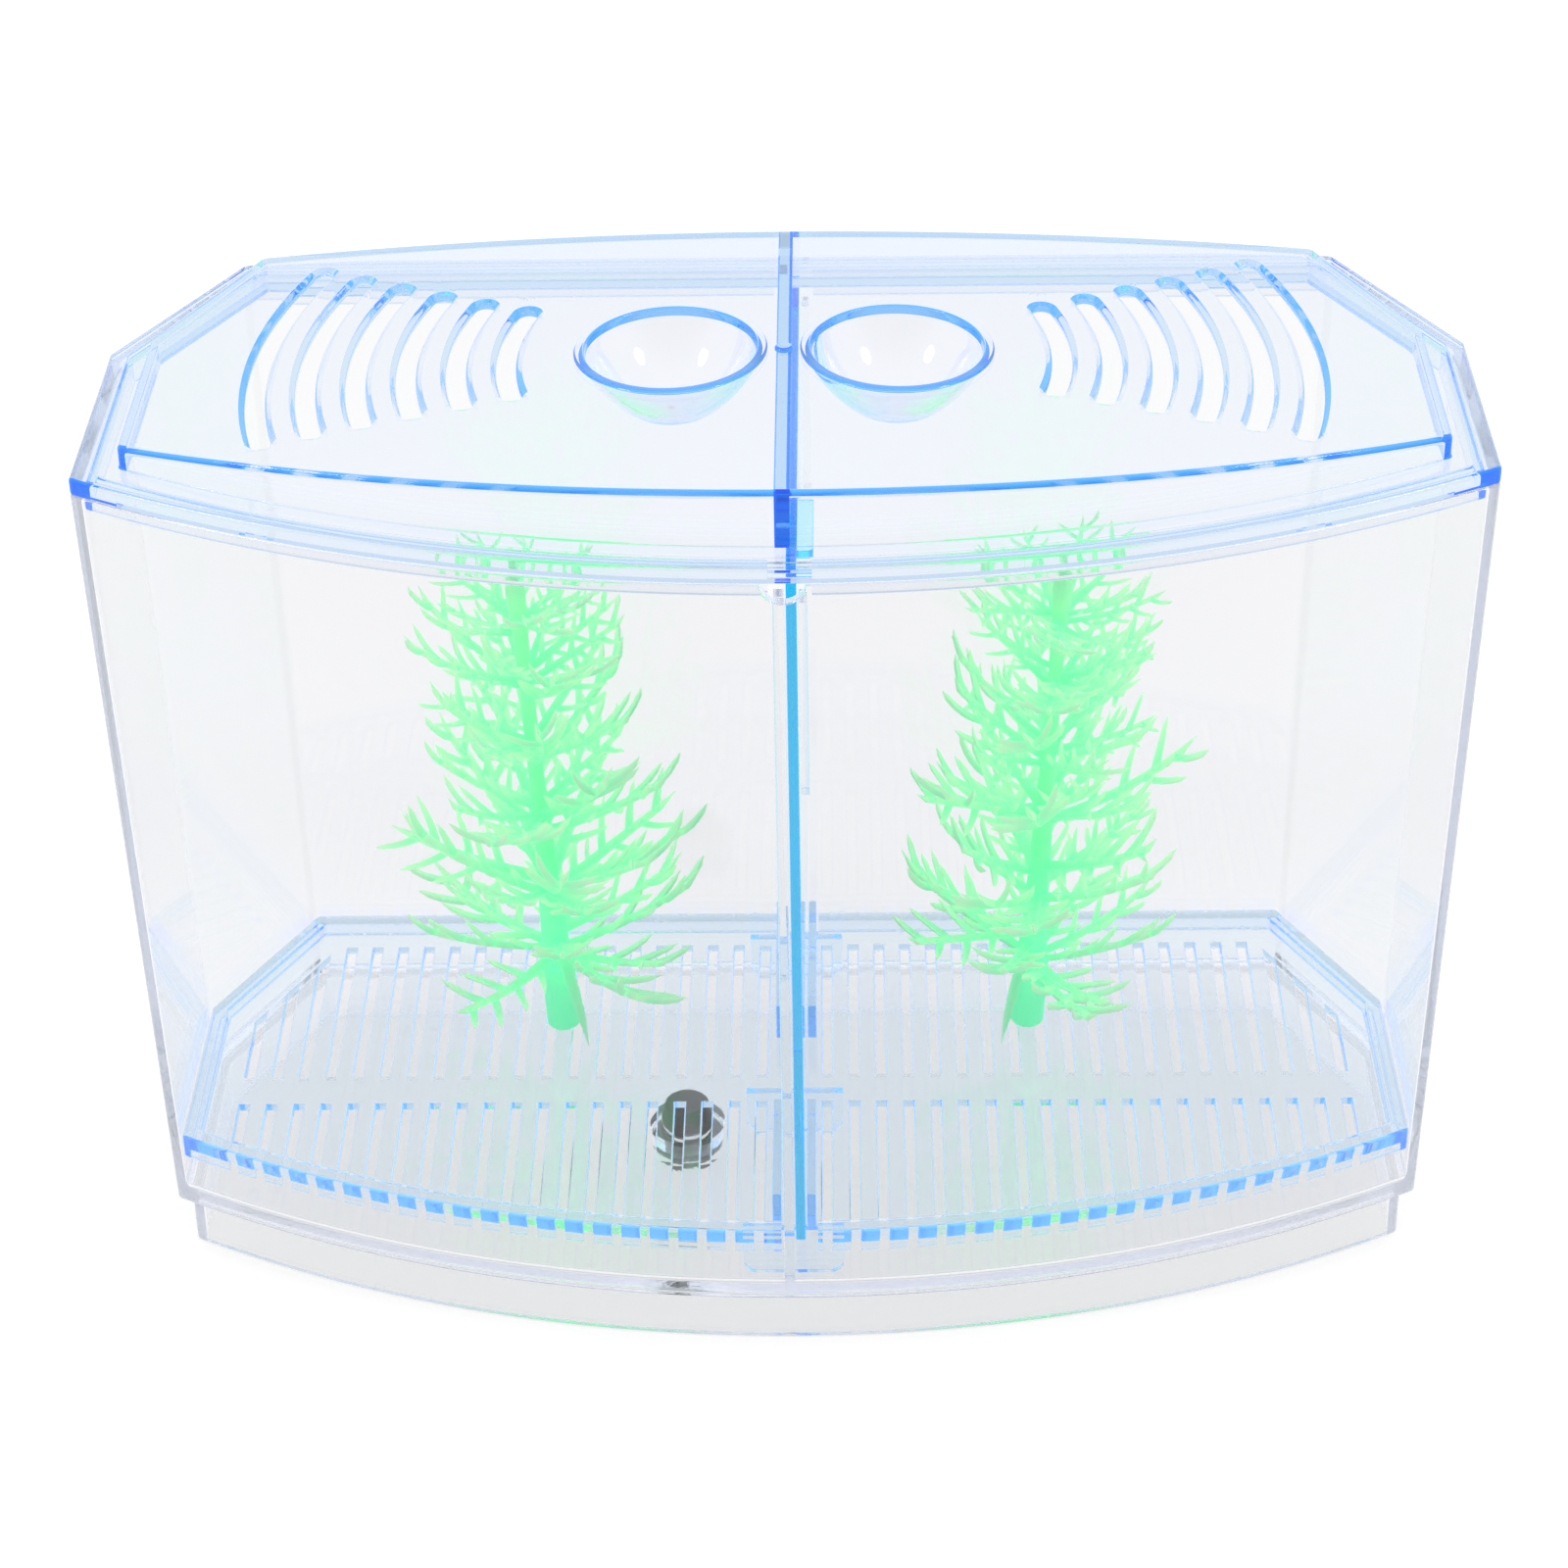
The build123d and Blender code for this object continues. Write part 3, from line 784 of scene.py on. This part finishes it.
def vent_fan(tree, named):
    """Copies of the slot, each bent to its own radius, on the right side and on the left."""
    count = named["Vents per side"]
    line = tree.add("GeometryNodeMeshLine", {"mode": "OFFSET"}, {"Count": count, "Offset": (0, 0, 0)})
    index = tree.add("GeometryNodeInputIndex")
    inputs = {"Geometry": line, "Name": "vent", "Value": index}
    marked = tree.add("GeometryNodeStoreNamedAttribute", {}, inputs)
    copies = tree.add("GeometryNodeInstanceOnPoints", {}, {"Points": marked, "Instance": named["Piece"]})
    loose = tree.add("GeometryNodeRealizeInstances", {}, {"Geometry": copies})
    vent = tree.add("GeometryNodeInputNamedAttribute", {}, {"Name": "vent"})
    place = tree.add("GeometryNodeInputPosition")
    along, across, up = (tree.part(place, axis) for axis in "XYZ")
    radius = named["First radius"] + vent * named["Radius step"]
    front = named["Front angle"]
    back = named["Back angle"] + vent * named["Back angle step"]
    middle = (back - front) / 2
    half_sweep = (back + front) / 2
    # Between the slot's ends the run is stretched to the sweep, and past them it keeps its length
    run = along.math("MINIMUM", 1.0).math("MAXIMUM", -1.0)
    past = along - run
    angle = middle + run * half_sweep + past / radius
    reach = radius - across
    made = []
    for side in (1, -1):
        x = (angle.math("COSINE") * reach - named["Centre across"]) * side
        y = angle.math("SINE") * reach + named["Centre back"]
        lift = (named["Arch radius"] ** 2 - x * x).math("SQRT") - named["Arch radius"] + named["Crown"]
        bent = tree.add("ShaderNodeCombineXYZ", {}, {"X": x, "Y": y, "Z": up + lift})
        made.append(tree.add("GeometryNodeSetPosition", {}, {"Geometry": loose, "Position": bent}))
    return tree.whole(made, blue_clear)


vent_sizes = {
    "Vents per side": 6,
    "First radius": 40.4,
    "Radius step": 6.8,
    "Front angle": radians(15.3),
    "Back angle": radians(18.7),
    "Back angle step": radians(0.92),
    "Centre across": 2.7,
    "Centre back": 1.2,
    "Arch radius": roof_radius,
    "Crown": roof_crown,
}


def bowl_profile(margin, steps=22):
    """Bowl from its mouth to the middle of its floor, as (radius, depth) points, with a soft floor edge."""
    side = Vector((bowl_radius - margin, 0.0))
    floor = Vector((bowl_floor_radius, margin - bowl_depth))
    normal = Vector((-1.0, bowl_side_bend)).normalized()
    run = floor - side
    radius = run.dot(run) / (2 * run.dot(normal))
    centre = side + normal * radius
    first = atan2(side.y - centre.y, side.x - centre.x)
    last = atan2(floor.y - centre.y, floor.x - centre.x)
    # The last stretch runs out in a curve that ends level in the middle
    keep = arc(centre, radius, first, last - first, steps)[: steps - 4]
    start, end = keep[-1], Vector((0.0, floor.y))
    slope = start - keep[-2]
    corner = start + slope * ((floor.y - start.y) / slope.y)
    for step in range(1, 11):
        t = step / 10
        keep.append(start * (1 - t) ** 2 + corner * (2 * t * (1 - t)) + end * t * t)
    return keep


def bowl_tool(centre_x, profile, name):
    """Turned bowl that follows the roof's arch at its mouth and less with depth."""
    follow_depth = 4.5
    body = turned(name, profile, (centre_x, bowl_y), 128)
    for vertex in body.data.vertices:
        weight = max(0.0, min(1.0, 1 + vertex.co.z / follow_depth))
        weight = weight * weight * (3 - 2 * weight)
        vertex.co.z += roof_crown + (roof_z(vertex.co.x) - roof_crown) * weight
    return body


def make_lid():
    hood = hood_inset
    outer = [(hood + 2.0, 0.0), (hood, 0.0), (hood, -2.0)]

    def arched_rings(profile, radii, steps, corner):
        run = rounded(profile, radii, steps)
        return [plan_ring(inset, lambda x, d=drop: roof_z(x) + d, corner) for inset, drop in run]

    rings = arched_rings(outer, (0, 0.65, 0), 5, 1.0)
    seat, inner = rim_height + lid_seat_gap, hood + hood_wall
    lower = [(hood, ledge_top + 1.2), (hood, ledge_top), (lid_rim_width, ledge_top)]
    lower += [(lid_rim_width, lid_rim_top), (0.0, lid_rim_top), (0.0, seat), (lid_rim_width, seat)]
    lower += [(lid_rim_width, ledge_bottom), (inner, ledge_bottom), (inner, ledge_bottom + 2.0)]
    radii = (0, 0.3, 0.2, 0.2, 0.55, 0.25, 0.2, 0.2, 0.25, 0)
    for inset, height in rounded(lower, radii, 4):
        rings.append(plan_ring(inset, height, 1.0 if inset < 6.5 else 0.4))
    under = [(inner, -roof_thickness - 1.0), (inner, -roof_thickness), (inner + 2.0, -roof_thickness)]
    rings += arched_rings(under, (0, 0.4, 0), 4, 0.4)
    lid = lofted("lid_shell", rings, (roof_z, lambda x: roof_z(x) - roof_thickness))
    # Inner lip, open where the divider and its guides stand
    lip_top, lip_inside = ledge_bottom + 0.6, inner_lip_inset + inner_lip_wall
    lip = [(inner_lip_inset, lip_top), (inner_lip_inset, inner_lip_bottom)]
    lip += [(lip_inside, inner_lip_bottom), (lip_inside, lip_top)]
    run = rounded(lip, (0, 0.35, 0.35, 0), 3)
    band = [plan_ring(inset, height, 0.5) for inset, height in run]
    faces = bands(len(band[0]), len(band), closed=True)
    inner_lip = solid("inner_lip", [point for ring in band for point in ring], faces)
    gap = block("gap", (guide_left - 0.6, -60, 120), (lip_right + 0.6, 60, ledge_bottom))
    combine(inner_lip, [gap], "DIFFERENCE")
    # The rib's ends are sunk in the hood's walls
    front, back = front_y + hood + 0.6, back_y - hood - 0.6
    rib_top = roof_crown - 0.7
    outline = [(front, ledge_bottom), (back, ledge_bottom), (back, rib_top), (front, rib_top)]
    half = roof_rib_width / 2
    rib = prism("roof_rib", outline, -half, half, axis="x", bevel=0.12)
    combine(lid, [inner_lip, rib], "UNION")
    outside = [(0, -0.5), (bowl_radius, -0.5)] + [p for p in bowl_profile(0.0) if p.y < -0.6]
    room = [(0, 1.5), (11.9, 1.5), (11.75, 0.1)] + [p for p in bowl_profile(bowl_wall) if p.y < -0.2]
    bead = [(0, -0.5), (13.2, -0.5), (13.2, 0.05), (12.95, 0.32), (11.85, 0.32), (11.6, -0.4)]
    bead = rounded(bead, (0, 0, 0.12, 0.3, 0.35, 0), 4)[:-1] + [(11.5, -0.3), (0, -0.3)]
    bowls, rooms = [], []
    for centre_x in (-bowl_x, bowl_x):
        bowls.append(bowl_tool(centre_x, outside, "bowl"))
        bowls.append(bowl_tool(centre_x, bead, "bead"))
        rooms.append(bowl_tool(centre_x, room, "bowl_room"))
    combine(lid, bowls, "UNION")
    combine(lid, rooms, "DIFFERENCE")
    group, names = repeating("vent_fan", vent_sizes, vent_fan)
    vents = grown(vent_tool(), group, names, vent_sizes)
    combine(lid, [vents], "DIFFERENCE")
    low, high = roof_crown - 0.6, roof_crown + nub_height
    nub = rounded([(0, low), (nub_radius, low), (nub_radius, high), (0, high)], (0, 0, 0.4, 0))
    combine(lid, [turned("nub", nub, (0, nub_y), 40)], "UNION")
    return lid


finished(make_lid(), blue_clear, "lid", ["lid"])


# Tray: slotted plate with a rim and a skirt
def slot_tool(near, far, flared):
    """One straight slot along Y, flared at the plate's top."""
    flare = [(0, -0.3), (0.08, -0.12), (0.25, 0.02), (0.5, 0.5)] if flared else [(0, -0.03)]
    half = slot_width / 2
    side = [(half, tray_skirt_bottom - 1.0)] + [(half + x, tray_plate_top + z) for x, z in flare]
    outline = side + [(-x, z) for x, z in reversed(side)]
    return prism("slot_tool", outline, near, far, axis="y")


def slot_rows(tree, named):
    """Copies of a slot at even steps to the right and to the left."""
    rows = []
    for side in (1, -1):
        start = tree.add("ShaderNodeCombineXYZ", {}, {"X": named["First slot"] * side})
        step = tree.add("ShaderNodeCombineXYZ", {}, {"X": named["Slot spacing"] * side})
        inputs = {"Count": named["Slots per side"], "Start Location": start, "Offset": step}
        line = tree.add("GeometryNodeMeshLine", {"mode": "OFFSET"}, inputs)
        inputs = {"Points": line, "Instance": named["Piece"]}
        rows.append(tree.add("GeometryNodeInstanceOnPoints", {}, inputs))
    return tree.whole(rows, tray_clear)


slot_sizes = {"Slots per side": 20, "First slot": 4.9, "Slot spacing": 4.08}


def make_tray():
    inset = wall_inset(tray_skirt_bottom) + wall + tray_gap
    inner, skirt = inset + tray_rim_width, inset + tray_skirt_wall
    profile = [(inner + 1.0, tray_plate_top), (inner, tray_plate_top), (inner, tray_rim_top)]
    profile += [(inset, tray_rim_top), (inset, tray_skirt_bottom), (skirt, tray_skirt_bottom)]
    profile += [(skirt, tray_plate_bottom), (skirt + 1.0, tray_plate_bottom)]
    radii = (0, 0.3, 0.4, 0.5, 0.3, 0.3, 0.2, 0)
    rings = [plan_ring(i, h, 0.8 if i < inset + 1 else 0.4) for i, h in rounded(profile, radii, 4)]
    tray = lofted("tray_plate", rings)
    group, names = repeating("slot_rows", slot_sizes, slot_rows)

    def region(margin):
        return lofted("region", [plan_ring(margin, z) for z in (tray_skirt_bottom - 2, tray_rim_top + 2)])

    def row(near, far, flared):
        return grown(slot_tool(near, far, flared), group, names, slot_sizes)

    front = row(front_y - 4, slot_bar_front, True)
    combine(front, [region(inner + 0.35)], "INTERSECT")
    runs_out = row(front_y - 4, -12.0, False)
    back = row(slot_bar_back, back_y + 4, True)
    combine(back, [region(inner + slot_back_margin)], "INTERSECT")
    combine(tray, [front, runs_out, back], "DIFFERENCE")
    # Ribs on both sides of the divider and its guides
    notch_front = inner_front_y(tray_skirt_bottom) + guide_reach + tray_gap
    notch_back = inner_back_y(tray_skirt_bottom) - guide_reach - tray_gap
    notch_left, notch_right = guide_left - tray_gap, lip_right + tray_gap
    front_run = (notch_front - 0.001, notch_front + tray_rib_lengths[0])
    back_run = (notch_back - tray_rib_lengths[1], notch_back + 0.001)
    additions = []
    for left in (notch_left - tray_rib_width, lip_left):
        for near, far in (front_run, back_run):
            low = (left, near, tray_plate_top - 0.5)
            high = (left + tray_rib_width, far, tray_plate_top + tray_rib_height)
            additions.append(block("rib", low, high, bevel=0.25))
    combine(tray, additions, "UNION")
    cuts = []
    for near, far in ((front_y - 4, notch_front), (notch_back, back_y + 4)):
        cuts.append(block("notch", (notch_left, near, 10), (notch_right, far, 30)))
    combine(tray, cuts, "DIFFERENCE")
    half, low, high = foot_half_width, floor_top + 0.02, tray_plate_top - 0.5
    outline = [(-half, low), (half, low), (half, high), (-half, high)]
    outline = rounded(outline, (2.0, 2.0, 0, 0), 6, closed=True)
    half = foot_half_depth
    feet = []
    for y in (notch_front + half, (slot_bar_front + slot_bar_back) / 2, notch_back - half):
        feet.append(prism("foot", outline, y - half, y + half, axis="y", bevel=0.15))
    return combine(tray, feet, "UNION")


finished(make_tray(), tray_clear, "tray", ["floor_tray"])


# Divider: sheet with a finger flange at its top edge
def make_divider():
    bottom = tray_plate_top + 0.03
    outline = [(inner_front_y(z) + divider_gap, z) for z in (divider_top, bottom)]
    outline += [(inner_back_y(z) - divider_gap, z) for z in (bottom, divider_top)]
    sheet = prism("divider_sheet", outline, divider_left, divider_right, axis="x", bevel=0.2)
    near = inner_front_y(divider_top) + flange_start
    far = near + flange_length
    left, right = divider_right - 0.5, divider_right + flange_reach
    outline = [(left, near), (right, near), (right, far), (left, far)]
    run = rounded(outline, (0, 0.8, 0.8, 0), 5, closed=True)
    flange = prism("flange", run, divider_top - flange_thickness, divider_top, bevel=0.2)
    return combine(sheet, [flange], "UNION")


finished(make_divider(), divider_azure, "divider", ["divider"])


# Drain plug: domed nose in the bore, flange below the neck and a grip
def make_plug():
    neck_bottom = floor_top - neck_height
    flange_top = neck_bottom - 0.3
    flange_bottom = flange_top - plug_flange_thickness
    grip_bottom = flange_bottom - plug_grip_length
    profile = [(0, floor_top + 2.4), (3.3, floor_top + 2.4), (plug_radius, floor_top)]
    profile += [(plug_radius, flange_top), (plug_flange_radius, flange_top)]
    profile += [(plug_flange_radius, flange_bottom), (plug_grip_radius, flange_bottom)]
    profile += [(plug_grip_radius, grip_bottom), (0, grip_bottom)]
    profile = rounded(profile, (0, 0.6, 0.5, 0.15, 0.45, 0.45, 0.2, 0.35, 0), 5)
    return turned("plug", profile, (drain_x, drain_y), 72)


finished(make_plug(), plug_rubber, "plug", ["drain_plug"])


# Plants: one twig, copied round the stem in whorls that rise and shorten towards the top
def limb(stations, thickness, tip_from, tip_to):
    """Pointed grooved blade from stations of (x, y, z, half width), of which the last is its tip."""
    vertices, tips = [], []
    for index, (x, y, z, half) in enumerate(stations[:-1]):
        nxt = Vector(stations[index + 1][:3])
        prev = Vector(stations[max(index - 1, 0)][:3])
        along = (nxt - prev).normalized()
        side = along.cross(Vector((0, 0, 1))).normalized()
        up = side.cross(along)
        here = Vector((x, y, z))
        depth = thickness * (0.55 + 0.45 * half / stations[0][3])
        edge = up * depth * 0.5
        for offset in (side * half + edge, -up * depth * 0.2, -side * half + edge, -up * depth):
            vertices.append(here + offset)
            share = index / (len(stations) - 1)
            tips.append(tip_from + (tip_to - tip_from) * share)
    vertices.append(Vector(stations[-1][:3]))
    tips.append(tip_to)
    faces = bands(4, len(stations) - 1)
    last = (len(stations) - 2) * 4
    tip = len(vertices) - 1
    faces += [(last + corner, last + (corner + 1) % 4, tip) for corner in range(4)]
    faces.append((3, 2, 1, 0))
    return vertices, faces, tips


def joined_limbs(name, limbs):
    """Object from limbs, with each point's share of the way to the tip as an attribute."""
    vertices, faces, tips = [], [], []
    for points, cells, shares in limbs:
        base = len(vertices)
        vertices += points
        faces += [[base + index for index in cell] for cell in cells]
        tips += shares
    mesh = bpy.data.meshes.new(name)
    mesh.from_pydata(vertices, [], faces)
    mark = mesh.attributes.new("tip", "FLOAT", "POINT")
    mark.data.foreach_set("value", tips)
    return turned_outwards(placed(name, mesh))


def hanging_leaf():
    """Long pointed leaf that hangs in front of the peg."""
    path = [(0.4, -1.4, 15.5, 0.8), (1.5, -3.4, 13.4, 0.95), (2.6, -5.2, 9.6, 0.85)]
    path += [(3.5, -6.8, 5.4, 0.6), (4.3, -8.0, 1.0, 0)]
    return joined_limbs("hanging_leaf", [limb(path, 0.6, 0.1, 0.6)])


TWIG_LENGTH = 26.0
# Place along the spine, side, length, angle in degrees and rise of each leaflet
LEAFLETS = (
    (0.20, 1, 6.0, 60, 0.1),
    (0.30, -1, 7.2, 56, 0.3),
    (0.42, 1, 8.6, 58, 0.4),
    (0.50, -1, 8.2, 60, 0.15),
    (0.63, 1, 8.4, 54, 0.25),
    (0.71, -1, 7.8, 56, 0.45),
    (0.83, 1, 6.6, 48, 0.4),
)


def spine_point(t):
    """Point of the twig's spine, which starts at the stem and bends upwards."""
    return TWIG_LENGTH * t, 0.9 * sin(2.6 * t), 5.2 * t * t


def twig():
    """Fir-like twig along X: a spine with pointed leaflets on both sides."""
    spine = [(*spine_point(step / 8), 1.1 - 0.55 * step / 8) for step in range(8)]
    spine.append((TWIG_LENGTH, 0.7, 6.4, 0))
    limbs = [limb(spine, 0.85, 0.15, 0.9)]
    for start, side, length, splay, rise in LEAFLETS:
        x, y, z = Vector(spine_point(start))
        stations = []
        for step in range(6):
            t = step / 5
            turn = radians(splay * (1.05 - 0.16 * t))
            reach = length * t
            up = length * (0.12 * t + rise * t * t)
            half = 0.7 * (1 - 0.15 * t - 0.45 * t * t)
            stations.append((x + reach * cos(turn), y + side * reach * sin(turn), z + up, half))
        limbs.append(limb(stations, 0.7, 0.3, 1.0))
    return joined_limbs("twig", limbs)


def whorls(tree, named):
    """Twigs round an upright stem, with small differences that come from the seed."""
    total = named["Whorls"] * named["Twigs per whorl"]
    points = tree.add("GeometryNodeMeshLine", {"mode": "OFFSET"}, {"Count": total})
    index = tree.add("GeometryNodeInputIndex")
    level = (index / named["Twigs per whorl"]).math("FLOOR")

    def chance(low, high, number):
        values = {2: low, 3: high, "ID": index, "Seed": named["Seed"] + number}
        return tree.add("FunctionNodeRandomValue", {}, values, 1)

    around = index / named["Twigs per whorl"] * (2 * pi) + level * 0.7 + chance(-0.3, 0.3, 1)
    height = named["First whorl"] + level * named["Whorl spacing"] + chance(-2.6, 3.0, 2)
    height = height.math("MINIMUM", named["Highest"])
    rise = named["Lowest rise"] + level * named["Rise step"] - level * level * named["Rise bend"]
    rise = rise + chance(-0.2, 0.2, 3)
    size = 1.04 + level * named["Size step"] - level * level * named["Size bend"]
    size = size * chance(0.7, 1.0, 4)
    place = tree.add("ShaderNodeCombineXYZ", {}, {"Z": height})
    turn = tree.add("ShaderNodeCombineXYZ", {}, {"X": chance(-0.7, 0.7, 5), "Y": -1 * rise, "Z": around})
    set_out = tree.add("GeometryNodeSetPosition", {}, {"Geometry": points, "Position": place})
    spin = tree.add("FunctionNodeEulerToRotation", {}, {"Euler": turn})
    inputs = {"Points": set_out, "Instance": named["Piece"], "Rotation": spin, "Scale": size}
    copies = tree.add("GeometryNodeInstanceOnPoints", {}, inputs)
    return tree.whole([copies], plant_green)


whorl_sizes = {
    "Whorls": 6,
    "Twigs per whorl": 11,
    "Seed": 3,
    "First whorl": 14.0,
    "Whorl spacing": 11.8,
    "Highest": 73.0,
    "Lowest rise": radians(7),
    "Rise step": radians(12.2),
    "Rise bend": radians(2.2),
    "Size step": 0.015,
    "Size bend": 0.0185,
}


def make_plant(side, seed):
    group, names = repeating("whorls", whorl_sizes, whorls)
    plant = grown(twig(), group, names, dict(whorl_sizes, Seed=seed))
    stem_profile = [(0, 11.0), (2.35, 11.0), (2.1, 16.0), (1.65, 27.0), (1.2, 45.0), (1.05, 62.0)]
    stem_profile += [(1.2, 70.0), (1.5, 77.5), (1.0, 81.0), (0, 82.3)]
    peg_profile = [(0, 0.02), (2.6, 0.02), (2.6, 12.0), (0, 12.0)]
    parts = [
        hanging_leaf(),
        turned("stem", stem_profile, (0, 0), 20),
        turned("peg", rounded(peg_profile, (0, 0.9, 0.5, 0), 4), (0, 0), 28),
    ]
    with edited(plant.data) as shell:
        mark = shell.verts.layers.float.get("tip")
        for part in parts:
            if part.name.startswith("stem"):
                leaves = len(shell.verts)
            shell.from_mesh(part.data)
            bpy.data.objects.remove(part, do_unlink=True)
        shell.verts.ensure_lookup_table()
        # The stem and the peg change colour with height
        for vertex in shell.verts[leaves:]:
            vertex[mark] = max(0.0, vertex.co.z - 12) / 68 * 0.55
        lean = Matrix.Rotation(-radians(plant_lean), 4, "Y")
        bmesh.ops.transform(shell, matrix=lean, verts=shell.verts)
        bmesh.ops.translate(shell, vec=(-plant_x, plant_y, tray_plate_top), verts=shell.verts)
        if side > 0:
            bmesh.ops.scale(shell, vec=(-1, 1, 1), verts=shell.verts)
            bmesh.ops.recalc_face_normals(shell, faces=shell.faces)
    plant.data.update()
    return plant


for side, side_name, seed in ((-1, "left", 3), (1, "right", 11)):
    plant = make_plant(side, seed)
    plant.name = f"plant_{side_name}"
    nodes = [f"plant_{side_name}_base", f"plant_{side_name}_stem"]
    nodes += [f"plant_{side_name}_whorl_{index}" for index in range(1, 7)]
    finished(plant, plant_green, f"plant_{side_name}", nodes, 60)


# Studio: pale floor, soft light all round, camera as in the photograph
CAMERA_PLACE = (0.00763, -0.4922, 0.3950)
CAMERA_ANGLES = (33.387, -0.9585, 0.9964)
CAMERA_LENS = 93.53


def make_studio():
    mesh = bpy.data.meshes.new("floor")
    mesh.from_pydata([(-4, -4, 0), (4, -4, 0), (4, 4, 0), (-4, 4, 0)], [], [(0, 1, 2, 3)])
    mesh.transform(Matrix.Translation((0, 0, -0.0002)))
    mesh.materials.append(pale_floor())
    placed("studio_floor", mesh)
    world = bpy.data.worlds.new("studio_light")
    world.use_nodes = True
    world.node_tree.nodes.clear()
    tree = Tree(world.node_tree)
    place = tree.add("ShaderNodeTexCoord", output="Generated")
    seen = tree.add("ShaderNodeLightPath", output="Is Camera Ray")
    dim = 1 - (0 - tree.part(place, "Y")).smooth(0.3, 0.9) * 0.55
    strength = dim * (1 - seen) * 0.92 + seen
    background = tree.add("ShaderNodeBackground", {}, {"Color": WHITE, "Strength": strength * 1.04})
    tree.add("ShaderNodeOutputWorld", {}, {"Surface": background}, None)
    bpy.context.scene.world = world

    for side in (-1, 1):
        lamp = placed(f"soft_box_{side}", bpy.data.lights.new("soft_box", "AREA"))
        lamp.data.shape = "DISK"
        lamp.data.size = 0.42
        lamp.data.energy = 3.2
        lamp.visible_camera = False
        lamp.visible_transmission = False
        place = Vector((1.2 * side, -0.55, 1.3))
        lamp.matrix_world = Matrix.Translation(place) @ place.to_track_quat("Z", "Y").to_matrix().to_4x4()

    pitch, roll, yaw = (radians(angle) for angle in CAMERA_ANGLES)
    ahead = Vector((-sin(yaw) * cos(pitch), cos(yaw) * cos(pitch), -sin(pitch)))
    right = Vector((cos(yaw), sin(yaw), 0))
    up = Vector((-sin(yaw) * sin(pitch), cos(yaw) * sin(pitch), cos(pitch)))
    image_right = right * cos(roll) + up * sin(roll)
    image_up = up * cos(roll) - right * sin(roll)
    turn = Matrix((image_right, image_up, -ahead)).transposed().to_4x4()
    camera = placed("camera", bpy.data.cameras.new("camera"))
    camera.data.sensor_width = 36
    camera.data.lens = CAMERA_LENS
    camera.data.clip_start = 0.01
    camera.matrix_world = Matrix.Translation(CAMERA_PLACE) @ turn
    bpy.context.scene.camera = camera

    cycles = bpy.context.scene.cycles
    cycles.max_bounces = LAST_BOUNCE
    cycles.transmission_bounces = LAST_BOUNCE
    cycles.transparent_max_bounces = 24
    cycles.glossy_bounces = LAST_BOUNCE
    cycles.diffuse_bounces = 4
    cycles.caustics_refractive = True
    cycles.caustics_reflective = True
    cycles.use_denoising = True
    view = bpy.context.scene.view_settings
    view.view_transform = "Standard"
    view.look = "None"


make_studio()
